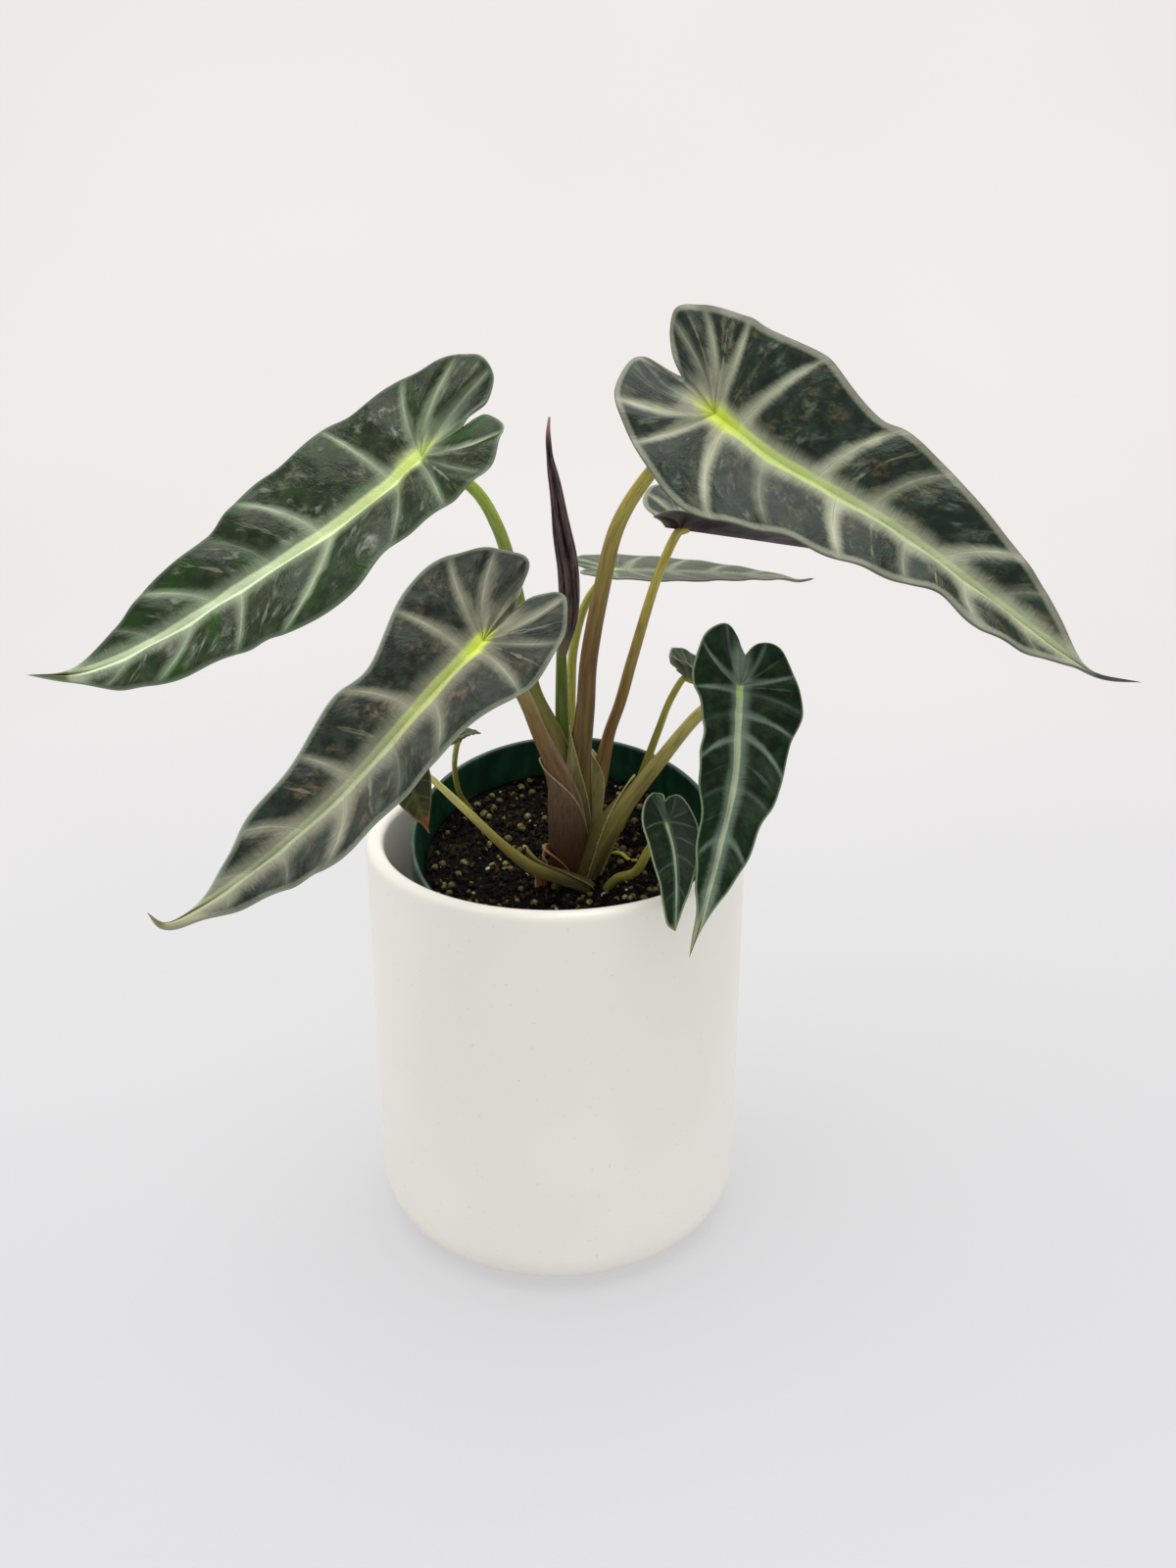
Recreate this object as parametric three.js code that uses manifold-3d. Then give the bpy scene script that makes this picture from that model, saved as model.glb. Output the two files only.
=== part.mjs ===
// A potted bambino alocasia: a white glazed outer pot, a green nursery pot wedged in it,
// soil, a stem base and eleven leaves on their stalks, one of them still rolled up.
// Millimetres, +Z up. The origin is the centre of the outer pot's underside.
import * as THREE from "three";
import { mergeVertices } from "three/addons/utils/BufferGeometryUtils.js";
import Module from "manifold-3d";

const wasm = await Module();
wasm.setup();

// Driving dimensions
const CLEARANCE = 0.3;
const OUTER_POT = {
  radius: 63.5,
  height: 142,
  wall: 6,
  floor: 7,
  lipRound: 2.8,
  baseRound: 15,
  footRadius: 45,
  innerBevel: 8,
  sides: 48,
};
const NURSERY_POT = {
  rimRadius: 52,
  rimThickness: 1.9,
  bandHeight: 9,
  bandStep: 1.4,
  baseRadius: 40,
  height: 75,
  wall: 1,
  rimCentre: [3.5, -4.4, 142.7],
  leanDegrees: 18,
  edgeRound: 0.6,
  baseEdge: 1.5,
  drainRadius: 4.5,
  drainCircle: 26,
  drains: 4,
  drainSides: 12,
  sides: 36,
};
const SOIL = {
  belowRim: 16,
  raisedAtWall: 1.8,
  bump: 0.9,
  rings: 5,
  prills: 24,
  prillRadius: [1.3, 1.9],
  chips: 14,
  chipRadius: [1.4, 2.6],
  seed: 11,
};
const STEM_BASE = { centre: [8, 2], radius: 9.5, bottom: 106, top: 129, shoulder: 5, sides: 16 };
const BLADE = {
  thickness: 0.75,
  ribThickness: 0.9,
  ribWidth: 2.5,
  curlWidth: 28,
  columns: [0, 0.12, 0.45, 0.78, 1],
  fewColumns: [0, 0.14, 0.55, 1],
};

// Colours
const COLOUR = {
  glaze: 0xe9e9e6,
  nurseryGreen: 0x1d4a30,
  soil: 0x2a2017,
  bark: 0x5a4128,
  darkLeaf: 0x2c4232,
  paleLeaf: 0x67786a,
  oldLeaf: 0x7d6f22,
  rolledLeaf: 0x33221f,
  stalk: 0x7c7238,
  youngStalk: 0x6f8a2a,
  drySheath: 0x6e4530,
};

// The mature leaves. A rib runs from the junction with the stalk to the tip. An outline
// runs from the bottom of the notch, round the lobe, to the tip, in distance along the rib
// and across it, with the left side positive. A vein leaves the rib at a distance from the
// junction and ends at a share of the outline's length. Angles are in degrees: the roll
// turns the blade about its rib, and the fold lifts both its sides.
const TOP_RIGHT_LEAF = {
  rib: [
    [47.5, -19, 282],
    [63.5, -34, 271.5],
    [79, -44.5, 264],
    [96.5, -55, 255],
    [114, -65, 243.5],
    [129.5, -71.5, 233],
    [145.5, -76.5, 222],
    [160, -76.5, 219.5],
  ],
  roll: [59, 41],
  fold: [24, 28],
  curl: 15,
  puff: 1.5,
  ripple: 0.8,
  left: {
    outline: [
      [-16, 2.5],
      [-27.5, 11],
      [-28, 18.5],
      [-6.5, 27.5],
      [1, 28],
      [22, 31],
      [45.5, 23.5],
      [53.5, 24],
      [73.5, 19.5],
      [85, 17],
      [104.5, 11.5],
      [114.5, 7],
      [129.5, 1],
      [144.8, 0],
    ],
    veins: [
      [0, 0.09],
      [0, 0.15],
      [0, 0.23],
      [9, 0.37],
      [38, 0.53],
      [55, 0.61],
      [79, 0.75],
      [97, 0.81],
    ],
  },
  right: {
    outline: [
      [-16, 2.5],
      [-33, -1],
      [-30, -12.5],
      [-18, -20],
      [-1.5, -25.5],
      [17, -28],
      [37.5, -21.5],
      [62, -18],
      [79, -13],
      [86.5, -10],
      [102, -12],
      [121, -5],
      [128, -1],
      [144.8, 0],
    ],
    veins: [
      [0, 0.16],
      [0, 0.24],
      [5, 0.41],
      [22, 0.48],
      [46, 0.58],
      [69, 0.67],
      [88, 0.78],
      [107, 0.86],
    ],
  },
};
const TOP_LEFT_LEAF = {
  rib: [
    [-38, -16, 269],
    [-52.5, -20.5, 257],
    [-70, -25.5, 245.5],
    [-93, -31.5, 232],
    [-116, -37.5, 219],
    [-138.5, -42, 210.5],
    [-153.5, -43, 210.5],
  ],
  roll: [-31, -62],
  fold: [24, 14],
  curl: 17,
  puff: 1.6,
  ripple: 0.8,
  left: {
    outline: [
      [-13.5, 4],
      [-17, 7],
      [-21.5, 8],
      [-22.5, 18.5],
      [-9.5, 28.5],
      [8, 26.5],
      [23.5, 22.5],
      [37.5, 27],
      [57, 24.5],
      [79.5, 18.5],
      [104.5, 12],
      [122.5, 2.5],
      [134.9, 0],
    ],
    veins: [
      [0, 0.12],
      [0, 0.2],
      [1, 0.28],
      [10, 0.38],
      [34, 0.59],
      [66, 0.67],
      [83, 0.8],
      [104, 0.88],
    ],
  },
  right: {
    outline: [
      [-13.5, 4],
      [-31.5, -4],
      [-32, -13.5],
      [-15, -22.5],
      [7, -26],
      [16, -28.5],
      [36.5, -26],
      [47, -26],
      [69, -18.5],
      [86.5, -16.5],
      [94.5, -13.5],
      [121, -2],
      [134.9, 0],
    ],
    veins: [
      [0, 0.11],
      [0, 0.17],
      [0, 0.26],
      [11, 0.41],
      [37, 0.59],
      [54, 0.66],
      [74, 0.78],
      [95, 0.85],
    ],
  },
};
const FRONT_LEFT_LEAF = {
  rib: [
    [-18.5, -56.5, 225],
    [-29.5, -68.5, 216.5],
    [-42, -83, 205.5],
    [-54.5, -98, 195],
    [-71.5, -116, 184.5],
    [-86, -129.5, 178],
    [-92.5, -135, 177],
    [-96, -136, 180.5],
  ],
  roll: [-32, -46],
  fold: [24, 17],
  curl: 18,
  puff: 1.4,
  ripple: 0.7,
  left: {
    outline: [
      [-15, -0.5],
      [-26, 6],
      [-25.5, 9.5],
      [-14.5, 18],
      [3, 22],
      [10.5, 21],
      [27.5, 15],
      [45, 14.5],
      [62.5, 13.5],
      [78, 13],
      [101, 7],
      [113.5, 3],
      [124.2, 0],
    ],
    veins: [
      [0, 0.1],
      [0, 0.2],
      [3, 0.32],
      [23, 0.5],
      [41, 0.6],
      [61, 0.74],
      [84, 0.8],
      [101, 0.89],
    ],
  },
  right: {
    outline: [
      [-15, -0.5],
      [-27.5, -6],
      [-28.5, -9],
      [-23, -17],
      [-10.5, -24.5],
      [5, -25.5],
      [29.5, -17.5],
      [43, -19],
      [69, -14],
      [85.5, -11.5],
      [97.5, -6],
      [110, -1],
      [124.2, 0],
    ],
    veins: [
      [0, 0.06],
      [0, 0.14],
      [0, 0.22],
      [6, 0.36],
      [29, 0.52],
      [56, 0.65],
      [76, 0.8],
      [94, 0.88],
    ],
  },
};
const HANGING_LEAF = {
  rib: [
    [56.5, -30, 203],
    [55.5, -39, 192],
    [54, -49.5, 178.5],
    [49, -62, 162],
    [43, -75, 144.5],
    [40, -80, 137],
  ],
  roll: [-18, -30],
  fold: [24, 25],
  curl: 14,
  puff: 0.9,
  ripple: 0.5,
  left: {
    outline: [
      [-10, 1.5],
      [-14, 5.5],
      [-12.5, 11.5],
      [-3.5, 16.5],
      [8.5, 19.5],
      [18.5, 16],
      [35.5, 13],
      [42.5, 10.5],
      [53.5, 9],
      [75.5, 1],
      [84.8, 0],
    ],
    veins: [
      [0, 0.07],
      [0, 0.2],
      [2, 0.31],
      [9, 0.38],
      [15, 0.49],
      [32, 0.58],
      [47, 0.73],
      [62, 0.83],
    ],
  },
  right: {
    outline: [
      [-10, 1.5],
      [-18.5, -4],
      [-15.5, -11.5],
      [-6, -16.5],
      [4, -17],
      [12, -13.5],
      [28.5, -13.5],
      [43, -9],
      [57, -7],
      [70, -3],
      [84.8, 0],
    ],
    veins: [
      [0, 0.1],
      [0, 0.2],
      [2, 0.33],
      [9, 0.42],
      [17, 0.51],
      [32, 0.62],
      [48, 0.76],
      [63, 0.86],
    ],
  },
};
const SMALL_LEAF = {
  few: true,
  rib: [
    [34, -50.5, 167],
    [36, -60, 161.5],
    [36.5, -68.5, 154.5],
    [36, -77, 144],
  ],
  roll: [-2, -6],
  fold: [17, 16],
  curl: 9,
  puff: 0.4,
  ripple: 0.2,
  left: {
    outline: [
      [-7.5, 1.5],
      [-9, 3.5],
      [-8.5, 6],
      [3, 9],
      [13, 7],
      [21, 5],
      [28, 2.5],
      [35.7, 0],
    ],
    veins: [
      [0, 0.08],
      [0, 0.4],
      [12, 0.64],
      [22, 0.82],
    ],
  },
  right: {
    outline: [
      [-7.5, 1.5],
      [-10, 1.5],
      [-11.5, -0.5],
      [-6, -6],
      [6, -8.5],
      [24, -5],
      [34, -2.5],
      [35.7, 0],
    ],
    veins: [
      [0, 0.13],
      [0, 0.42],
      [15, 0.69],
      [24, 0.85],
    ],
  },
};

// The leaves that others hide in part share one evenly grown outline, scaled to each.
const COMMON_OUTLINE = [
  [-0.45, 0],
  [-0.92, 0.2],
  [-1, 0.5],
  [-0.62, 0.84],
  [0.1, 1],
  [0.3, 0.93],
  [0.5, 0.73],
  [0.7, 0.44],
  [0.84, 0.18],
  [0.92, 0.06],
  [1, 0],
];
const COMMON_VEINS = [
  [0, 0.13],
  [0, 0.26],
  [0.08, 0.42],
  [0.28, 0.57],
  [0.48, 0.71],
  [0.66, 0.83],
];
const BEHIND_LEAF = {
  rib: [
    [40, 8.5, 243.5],
    [51, 10.5, 241.5],
    [70, 13, 238],
    [94, 17, 233],
    [118, 20, 226],
    [134, 21, 221],
  ],
  roll: [2, 2],
  fold: [26, 22],
  curl: 6,
  puff: 1.4,
  ripple: 1.2,
  halfWidth: 22,
  lobe: 11,
};
const BACK_LEAF = {
  rib: [
    [18, 28, 224],
    [30, 30, 223],
    [57, 34, 221],
    [77, 37, 219],
    [82.5, 38, 217.8],
    [88, 39, 218.5],
  ],
  roll: [0, 0],
  fold: [6, 6],
  curl: 5,
  puff: 0.6,
  ripple: 0.4,
  halfWidth: 17.5,
  lobe: 11,
};
const TINY_RIGHT_LEAF = {
  few: true,
  rib: [
    [43, -2, 197.5],
    [48, -1.5, 193.5],
    [54, -1, 188],
    [59, -0.5, 183],
  ],
  roll: [8, 8],
  fold: [38, 28],
  curl: 12,
  puff: 0.4,
  ripple: 0.3,
  halfWidth: 8,
  lobe: 9,
};
const TINY_LEFT_LEAF = {
  few: true,
  rib: [
    [-32, -3, 176],
    [-29.5, -2.3, 177],
    [-27, -1.6, 177.5],
    [-24, -1, 177],
  ],
  roll: [-4, 0],
  fold: [16, 10],
  curl: 10,
  puff: 0.2,
  ripple: 0.2,
  halfWidth: 4,
  lobe: 4,
};
const YELLOWING_LEAF = {
  few: true,
  rib: [
    [-46, -40, 183],
    [-43, -42.5, 176],
    [-40, -44.5, 168],
    [-37, -45.5, 160.5],
  ],
  roll: [30, 42],
  fold: [16, 14],
  curl: 10,
  puff: 0.3,
  ripple: 0.4,
  halfWidth: 10.5,
  lobe: 6,
};

// The stalks. Each route starts in the stem base, or in the soil, and ends at its leaf's
// junction. The radii are spread evenly along it, so that the first ones are the sheath.
const TOP_RIGHT_STALK = {
  route: [
    [7.5, 4, 118],
    [7, 4, 128],
    [8, 4, 146],
    [8, 3, 164],
    [10, 2, 185],
    [11, 0, 201],
    [15, -2, 225],
    [20, -4, 246],
    [29, -8, 262],
    [38, -11.5, 272],
    [47.5, -19, 282],
  ],
  radii: [4.4, 4.3, 3.9, 3.1, 2.8, 2.6, 2.3, 2, 1.8],
};
const TOP_LEFT_STALK = {
  route: [
    [6.5, 8, 118],
    [6, 9, 129],
    [4, 8, 155],
    [1, 6, 171],
    [-7, 4, 190],
    [-12, 0, 225],
    [-17, -3, 245],
    [-24, -7, 258],
    [-38, -16, 269],
  ],
  radii: [4, 3.8, 3.2, 2.5, 2.3, 2.1, 1.9, 1.7],
};
const FRONT_LEFT_STALK = {
  route: [
    [5.5, 1, 118],
    [5, 0, 127],
    [4, -7, 147],
    [2, -16, 166],
    [-4, -27, 186],
    [-9, -37, 203],
    [-18.5, -56.5, 225],
  ],
  radii: [6.4, 6.4, 5.6, 3.6, 2.6, 2.3, 2, 1.7],
};
const HANGING_STALK = {
  route: [
    [9, -1, 117],
    [9.5, -2, 126],
    [13, -4, 136],
    [19, -7, 148],
    [33, -14, 171],
    [46, -21, 191],
    [56.5, -30, 203],
  ],
  radii: [5.2, 5.2, 4.4, 2.9, 2.4, 2.1, 1.9, 1.6],
};
const SMALL_STALK = {
  route: [
    [17, -8, 113],
    [17, -9, 123],
    [20, -14, 130],
    [26, -25, 138],
    [30, -37, 152],
    [34, -50.5, 167],
  ],
  radii: [1.7, 1.6, 1.5, 1.3, 1.1],
};
const BEHIND_STALK = {
  route: [
    [11, 12, 118],
    [11.5, 13.5, 131],
    [12, 13.5, 143],
    [15, 13, 157],
    [18, 12, 172],
    [23, 11, 181],
    [26, 10, 198],
    [34, 9, 229],
    [40, 8.5, 243.5],
  ],
  radii: [3.2, 3.3, 2.9, 2, 1.9, 1.7, 1.5, 1.3],
};
const BACK_STALK = {
  route: [
    [7, 10, 118],
    [6.5, 13, 130],
    [5, 22, 157],
    [5, 28, 183],
    [6, 29, 197],
    [11, 28.5, 214],
    [18, 28, 224],
  ],
  radii: [2.6, 2.2, 1.9, 1.7, 1.5, 1.3],
};
const TINY_RIGHT_STALK = {
  route: [
    [20, 18, 122],
    [21.5, 18, 133],
    [28, 15, 152],
    [34, 7.5, 174],
    [38, 2, 188],
    [43, -2, 197.5],
  ],
  radii: [1.7, 1.5, 1.4, 1.2, 1],
};
const TINY_LEFT_STALK = {
  route: [
    [-28, 28, 125],
    [-30, 26, 136],
    [-33.5, 18, 147],
    [-34, 7, 162],
    [-32, -3, 176],
  ],
  radii: [1.1, 1, 0.9, 0.8],
};
const YELLOWING_STALK = {
  route: [
    [13, -5, 116],
    [10.5, -8, 124],
    [3, -11.5, 129],
    [-7, -15, 134.5],
    [-15, -19, 143],
    [-30, -27, 163],
    [-39, -33, 175],
    [-46, -40, 183],
  ],
  radii: [2.6, 2.6, 2.3, 1.7, 1.5, 1.2, 1],
};
const ROLLED_STALK = {
  route: [
    [5.5, 6, 118],
    [4.5, 6.5, 141],
    [3.2, 7.2, 159],
    [2.3, 8, 176],
    [2.1, 9, 193],
    [2.1, 9.3, 199],
  ],
  radii: [2.6, 2.6, 2.6, 2.5, 2.2, 1.5],
};
// The youngest leaf is rolled into a spear on top of its stalk.
const ROLLED_LEAF = {
  route: [
    [2.1, 9.3, 199.5],
    [3.1, 9.6, 204.5],
    [4.7, 9.9, 209.5],
    [5.4, 10.3, 216],
    [4.7, 11.1, 229],
    [2.5, 11.8, 241],
    [0.8, 12.6, 253.5],
    [-1.2, 13.3, 264],
    [-1.6, 13.7, 271.5],
    [-1.2, 14, 276],
  ],
  radii: [1.1, 2.1, 2.9, 3.2, 3, 2.9, 3, 2.6, 2.1, 1.7, 1.4, 0.7, 0.8, 0.35],
  pleats: 7,
  pleatDepth: 0.16,
  sides: 14,
  twist: 1.1,
};
// A dry flake of an old sheath stands against the foot of the stalks.
const DRY_SHEATH = {
  few: true,
  rib: [
    [-1.5, -8.6, 121],
    [-3.6, -9.3, 128],
    [-4.6, -8.6, 134],
    [-4.2, -7, 139],
  ],
  roll: [-75, -60],
  fold: [-34, -20],
  curl: -30,
  puff: 0,
  ripple: 0.4,
  halfWidth: 4.2,
  lobe: 2.5,
};
const YOUNG_SHOOT = {
  route: [
    [19, 8, 122],
    [19.5, 7, 129.5],
    [22, 5, 130.5],
    [25, 3, 129],
    [27.5, 2, 129.5],
  ],
  radii: [0.9, 0.8, 0.75, 0.7, 0.45],
};

const UP = new THREE.Vector3(0, 0, 1);
const lerp = THREE.MathUtils.lerp;
const clamp = THREE.MathUtils.clamp;
const radians = THREE.MathUtils.degToRad;

// A closed triangle list, with or without an index, becomes a solid.
function solidOf(geometry) {
  const bare = geometry.clone();
  bare.deleteAttribute("normal");
  bare.deleteAttribute("uv");
  const merged = mergeVertices(bare, 1e-4);
  const index = merged.index.array;
  const kept = [];
  for (let i = 0; i < index.length; i += 3) {
    const [a, b, c] = [index[i], index[i + 1], index[i + 2]];
    if (a !== b && b !== c && c !== a) kept.push(a, b, c);
  }
  const vertProperties = new Float32Array(merged.attributes.position.array);
  const triVerts = new Uint32Array(kept);
  return new wasm.Manifold(new wasm.Mesh({ numProp: 3, vertProperties, triVerts }));
}

function geometryOf(solid) {
  const mesh = solid.getMesh();
  const geometry = new THREE.BufferGeometry();
  const positions = new Float32Array(mesh.numVert * 3);
  for (let i = 0; i < mesh.numVert; i += 1) {
    const start = i * mesh.numProp;
    positions.set(mesh.vertProperties.subarray(start, start + 3), i * 3);
  }
  geometry.setAttribute("position", new THREE.BufferAttribute(positions, 3));
  geometry.setIndex(new THREE.BufferAttribute(new Uint32Array(mesh.triVerts), 1));
  geometry.computeVertexNormals();
  return geometry;
}

// A cut can leave loose scraps, and only the main body is the piece.
function mainBody(solid) {
  const bodies = solid.decompose();
  return bodies.reduce((best, body) => (body.volume() > best.volume() ? body : best));
}

// A profile in radius and height, turned about the vertical axis.
function turned(profile, sides) {
  const points = profile.map(([radius, height]) => new THREE.Vector2(radius, height));
  return new THREE.LatheGeometry(points, sides).rotateX(Math.PI / 2);
}

function arcPoints(centreRadius, centreHeight, radius, from, to, steps) {
  const points = [];
  for (let i = 0; i <= steps; i += 1) {
    const angle = radians(lerp(from, to, i / steps));
    const across = centreRadius + radius * Math.cos(angle);
    points.push([across, centreHeight + radius * Math.sin(angle)]);
  }
  return points;
}

// A seeded generator, so that every build scatters the same grains.
function seededRandom(seed) {
  let state = seed;
  return () => {
    state = (state * 1664525 + 1013904223) % 4294967296;
    return state / 4294967296;
  };
}

function smoothCurve(points) {
  const knots = points.map((point) => new THREE.Vector3(...point));
  return new THREE.CatmullRomCurve3(knots, false, "centripetal");
}

// Surface of a leaf blade: a point at a distance along and across the rib, and its normal.
function bladeSurface(leaf) {
  const rib = smoothCurve(leaf.rib);
  const length = rib.getLength();
  return (along, across) => {
    const share = clamp(along / length, 0, 1);
    const point = rib.getPointAt(share);
    const forward = rib.getTangentAt(share);
    const roll = radians(lerp(leaf.roll[0], leaf.roll[1], share));
    const left = UP.clone().cross(forward).normalize().applyAxisAngle(forward, roll);
    const raised = forward.clone().cross(left);
    const side = Math.sign(across);
    const reach = Math.abs(across);
    const fold = radians(lerp(leaf.fold[0], leaf.fold[1], share));
    const bend = radians(leaf.curl) / BLADE.curlWidth;
    const slope = fold - bend * reach;
    point.addScaledVector(forward, Math.min(along, 0));
    point.addScaledVector(left, (side * (Math.sin(fold) - Math.sin(slope))) / bend);
    point.addScaledVector(raised, (Math.cos(slope) - Math.cos(fold)) / bend);
    const tilt = slope * Math.min(1, reach / BLADE.ribWidth);
    const normal = raised.multiplyScalar(Math.cos(tilt));
    normal.addScaledVector(left, -side * Math.sin(tilt));
    return { point, normal };
  };
}

// One side of a blade: each row is a curved line from the rib to the outline, and the
// whole rows follow the side veins.
function bladeSide(side, starts) {
  const points = side.outline.map(([along, across]) => [along, across, 0]);
  const outline = smoothCurve(points);
  const ends = [0, ...side.veins.map((vein) => vein[1]), 1];
  return (row, share) => {
    const whole = Math.min(Math.floor(row), ends.length - 2);
    const part = row - whole;
    const start = new THREE.Vector3(lerp(starts[whole], starts[whole + 1], part), 0, 0);
    const end = outline.getPointAt(lerp(ends[whole], ends[whole + 1], part));
    const middle = new THREE.Vector3(lerp(start.x, end.x, 0.25), 0.6 * end.y, 0);
    return new THREE.QuadraticBezierCurve3(start, middle, end).getPoint(share);
  };
}

// A leaf blade with puffed panels between its veins and a rib standing out below.
function bladeGeometry(leaf, substeps, above = 0, below = 0) {
  const surface = bladeSurface(leaf);
  const ribLength = smoothCurve(leaf.rib).getLength();
  const starts = [0];
  leaf.left.veins.forEach((vein, i) => starts.push((vein[0] + leaf.right.veins[i][0]) / 2));
  starts.push(ribLength);
  const sides = [bladeSide(leaf.left, starts), bladeSide(leaf.right, starts)];
  const rows = (starts.length - 1) * substeps;
  const columns = leaf.few ? BLADE.fewColumns : BLADE.columns;
  const positions = [];
  const faces = [];

  // Vertices go in pairs, upper then lower, column by column.
  function vertexAt(side, row, column) {
    const share = columns[column];
    const phase = row / substeps;
    const place = sides[side](phase, share);
    const { point, normal } = surface(place.x, place.y);
    const panel = Math.sin(Math.PI * phase) ** 2 * Math.sqrt(Math.max(0, 4 * share * (1 - share)));
    const lift = leaf.puff * panel + leaf.ripple * Math.sin(2 * Math.PI * phase) * share ** 2;
    const rib = BLADE.ribThickness * Math.exp(-((place.y / BLADE.ribWidth) ** 2));
    const taper = clamp(1.15 - place.x / ribLength, 0, 1);
    const upper = point.clone().addScaledVector(normal, lift + above);
    const depth = BLADE.thickness + rib * taper + below;
    const lower = point.clone().addScaledVector(normal, lift - depth);
    positions.push(...upper.toArray(), ...lower.toArray());
    return positions.length / 3 - 2;
  }
  for (let side = 0; side < 2; side += 1) {
    const grid = [];
    for (let row = 0; row <= rows; row += 1) {
      grid.push(columns.map((share, column) => vertexAt(side, row, column)));
    }
    const last = columns.length - 1;
    for (let row = 0; row < rows; row += 1) {
      for (let column = 0; column <= last; column += 1) {
        const a = grid[row][column];
        const b = grid[row + 1][column];
        if (column === last) {
          addQuad(faces, side, a, a + 1, b + 1, b);
        } else {
          const c = grid[row + 1][column + 1];
          const d = grid[row][column + 1];
          addQuad(faces, side, a, d, c, b);
          addQuad(faces, 1 - side, a + 1, d + 1, c + 1, b + 1);
        }
      }
    }
  }
  const geometry = new THREE.BufferGeometry();
  geometry.setAttribute("position", new THREE.Float32BufferAttribute(positions, 3));
  geometry.setIndex(faces);
  return geometry;
}

// Two triangles that always share the diagonal from a to c, turned over on request.
function addQuad(faces, flipped, a, b, c, d) {
  if (flipped) faces.push(a, b, c, a, c, d);
  else faces.push(a, c, b, a, d, c);
}

// A blade of the common outline, from its rib, half width and lobe length.
function withCommonOutline(leaf) {
  const length = smoothCurve(leaf.rib).getLength();
  const half = (sign) => ({
    outline: COMMON_OUTLINE.map(([along, across]) => [
      along * (along < 0 ? leaf.lobe : length),
      sign * across * leaf.halfWidth,
    ]),
    veins: COMMON_VEINS.map(([start, end]) => [start * length, end]),
  });
  return { ...leaf, left: half(1), right: half(-1) };
}

// A tube with a changing radius along a smooth route, closed at both ends.
function stalkGeometry(stalk, grown = 0) {
  const { route, radii, pleats = 0, pleatDepth = 0, twist = 0 } = stalk;
  const curve = smoothCurve(route);
  const widest = Math.max(...radii);
  const sides = stalk.sides ?? (widest > 2 ? 8 : 6);
  const steps = Math.max(6, Math.round(curve.getLength() / clamp(3 * widest, 6, 12)));
  const frames = curve.computeFrenetFrames(steps, false);
  const positions = [];
  const faces = [];
  for (let step = 0; step <= steps; step += 1) {
    const share = step / steps;
    const centre = curve.getPointAt(share);
    const slot = Math.min(share * (radii.length - 1), radii.length - 1 - 1e-6);
    const whole = Math.floor(slot);
    const radius = lerp(radii[whole], radii[whole + 1], slot - whole) + grown;
    for (let side = 0; side < sides; side += 1) {
      const angle = (2 * Math.PI * side) / sides;
      const ridge = 1 + pleatDepth * Math.cos(pleats * (angle + twist * share));
      const point = centre
        .clone()
        .addScaledVector(frames.normals[step], radius * ridge * Math.cos(angle))
        .addScaledVector(frames.binormals[step], radius * ridge * Math.sin(angle));
      positions.push(...point.toArray());
    }
  }
  const ends = [curve.getPointAt(0), curve.getPointAt(1)];
  ends[0].addScaledVector(frames.tangents[0], -grown);
  ends[1].addScaledVector(frames.tangents[steps], grown);
  ends.forEach((point) => positions.push(...point.toArray()));
  const firstEnd = (steps + 1) * sides;
  for (let side = 0; side < sides; side += 1) {
    const next = (side + 1) % sides;
    for (let step = 0; step < steps; step += 1) {
      const low = step * sides;
      const high = low + sides;
      faces.push(low + side, low + next, high + next, low + side, high + next, high + side);
    }
    const top = steps * sides;
    faces.push(firstEnd, next, side, firstEnd + 1, top + side, top + next);
  }
  const geometry = new THREE.BufferGeometry();
  geometry.setAttribute("position", new THREE.Float32BufferAttribute(positions, 3));
  geometry.setIndex(faces);
  return geometry;
}

const plant = new THREE.Group();

function addPiece(name, solid, colour, roughness) {
  const material = new THREE.MeshStandardMaterial({ color: colour, roughness, metalness: 0 });
  const mesh = new THREE.Mesh(geometryOf(solid), material);
  mesh.name = name;
  plant.add(mesh);
}

// The outer pot: a plain cylinder with a rounded lip and a rounded foot.
function outerPotSolid() {
  const { radius, height, wall, floor, lipRound, baseRound, footRadius } = OUTER_POT;
  const { innerBevel, sides } = OUTER_POT;
  const bore = radius - wall;
  const profile = [
    [0, 0],
    [footRadius, 0],
    ...arcPoints(radius - baseRound, baseRound, baseRound, -72, 0, 4),
    ...arcPoints(radius - lipRound, height - lipRound, lipRound, 0, 90, 2),
    ...arcPoints(bore + lipRound, height - lipRound, lipRound, 90, 180, 2),
    [bore, floor + innerBevel],
    [bore - innerBevel, floor],
    [0, floor],
  ];
  return solidOf(turned(profile, sides));
}

// The nursery pot leans: its own axis is turned about X, and its rim centre is placed.
const nurseryPlace = new THREE.Matrix4()
  .makeRotationX(radians(NURSERY_POT.leanDegrees))
  .setPosition(...NURSERY_POT.rimCentre);

// Outer radius of the nursery pot's wall at a height under the rim.
function wallRadius(level) {
  const { rimRadius, bandStep, baseRadius, height, bandHeight } = NURSERY_POT;
  const underBand = rimRadius - bandStep;
  return lerp(baseRadius, underBand, (level + height) / (height - bandHeight));
}

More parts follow.
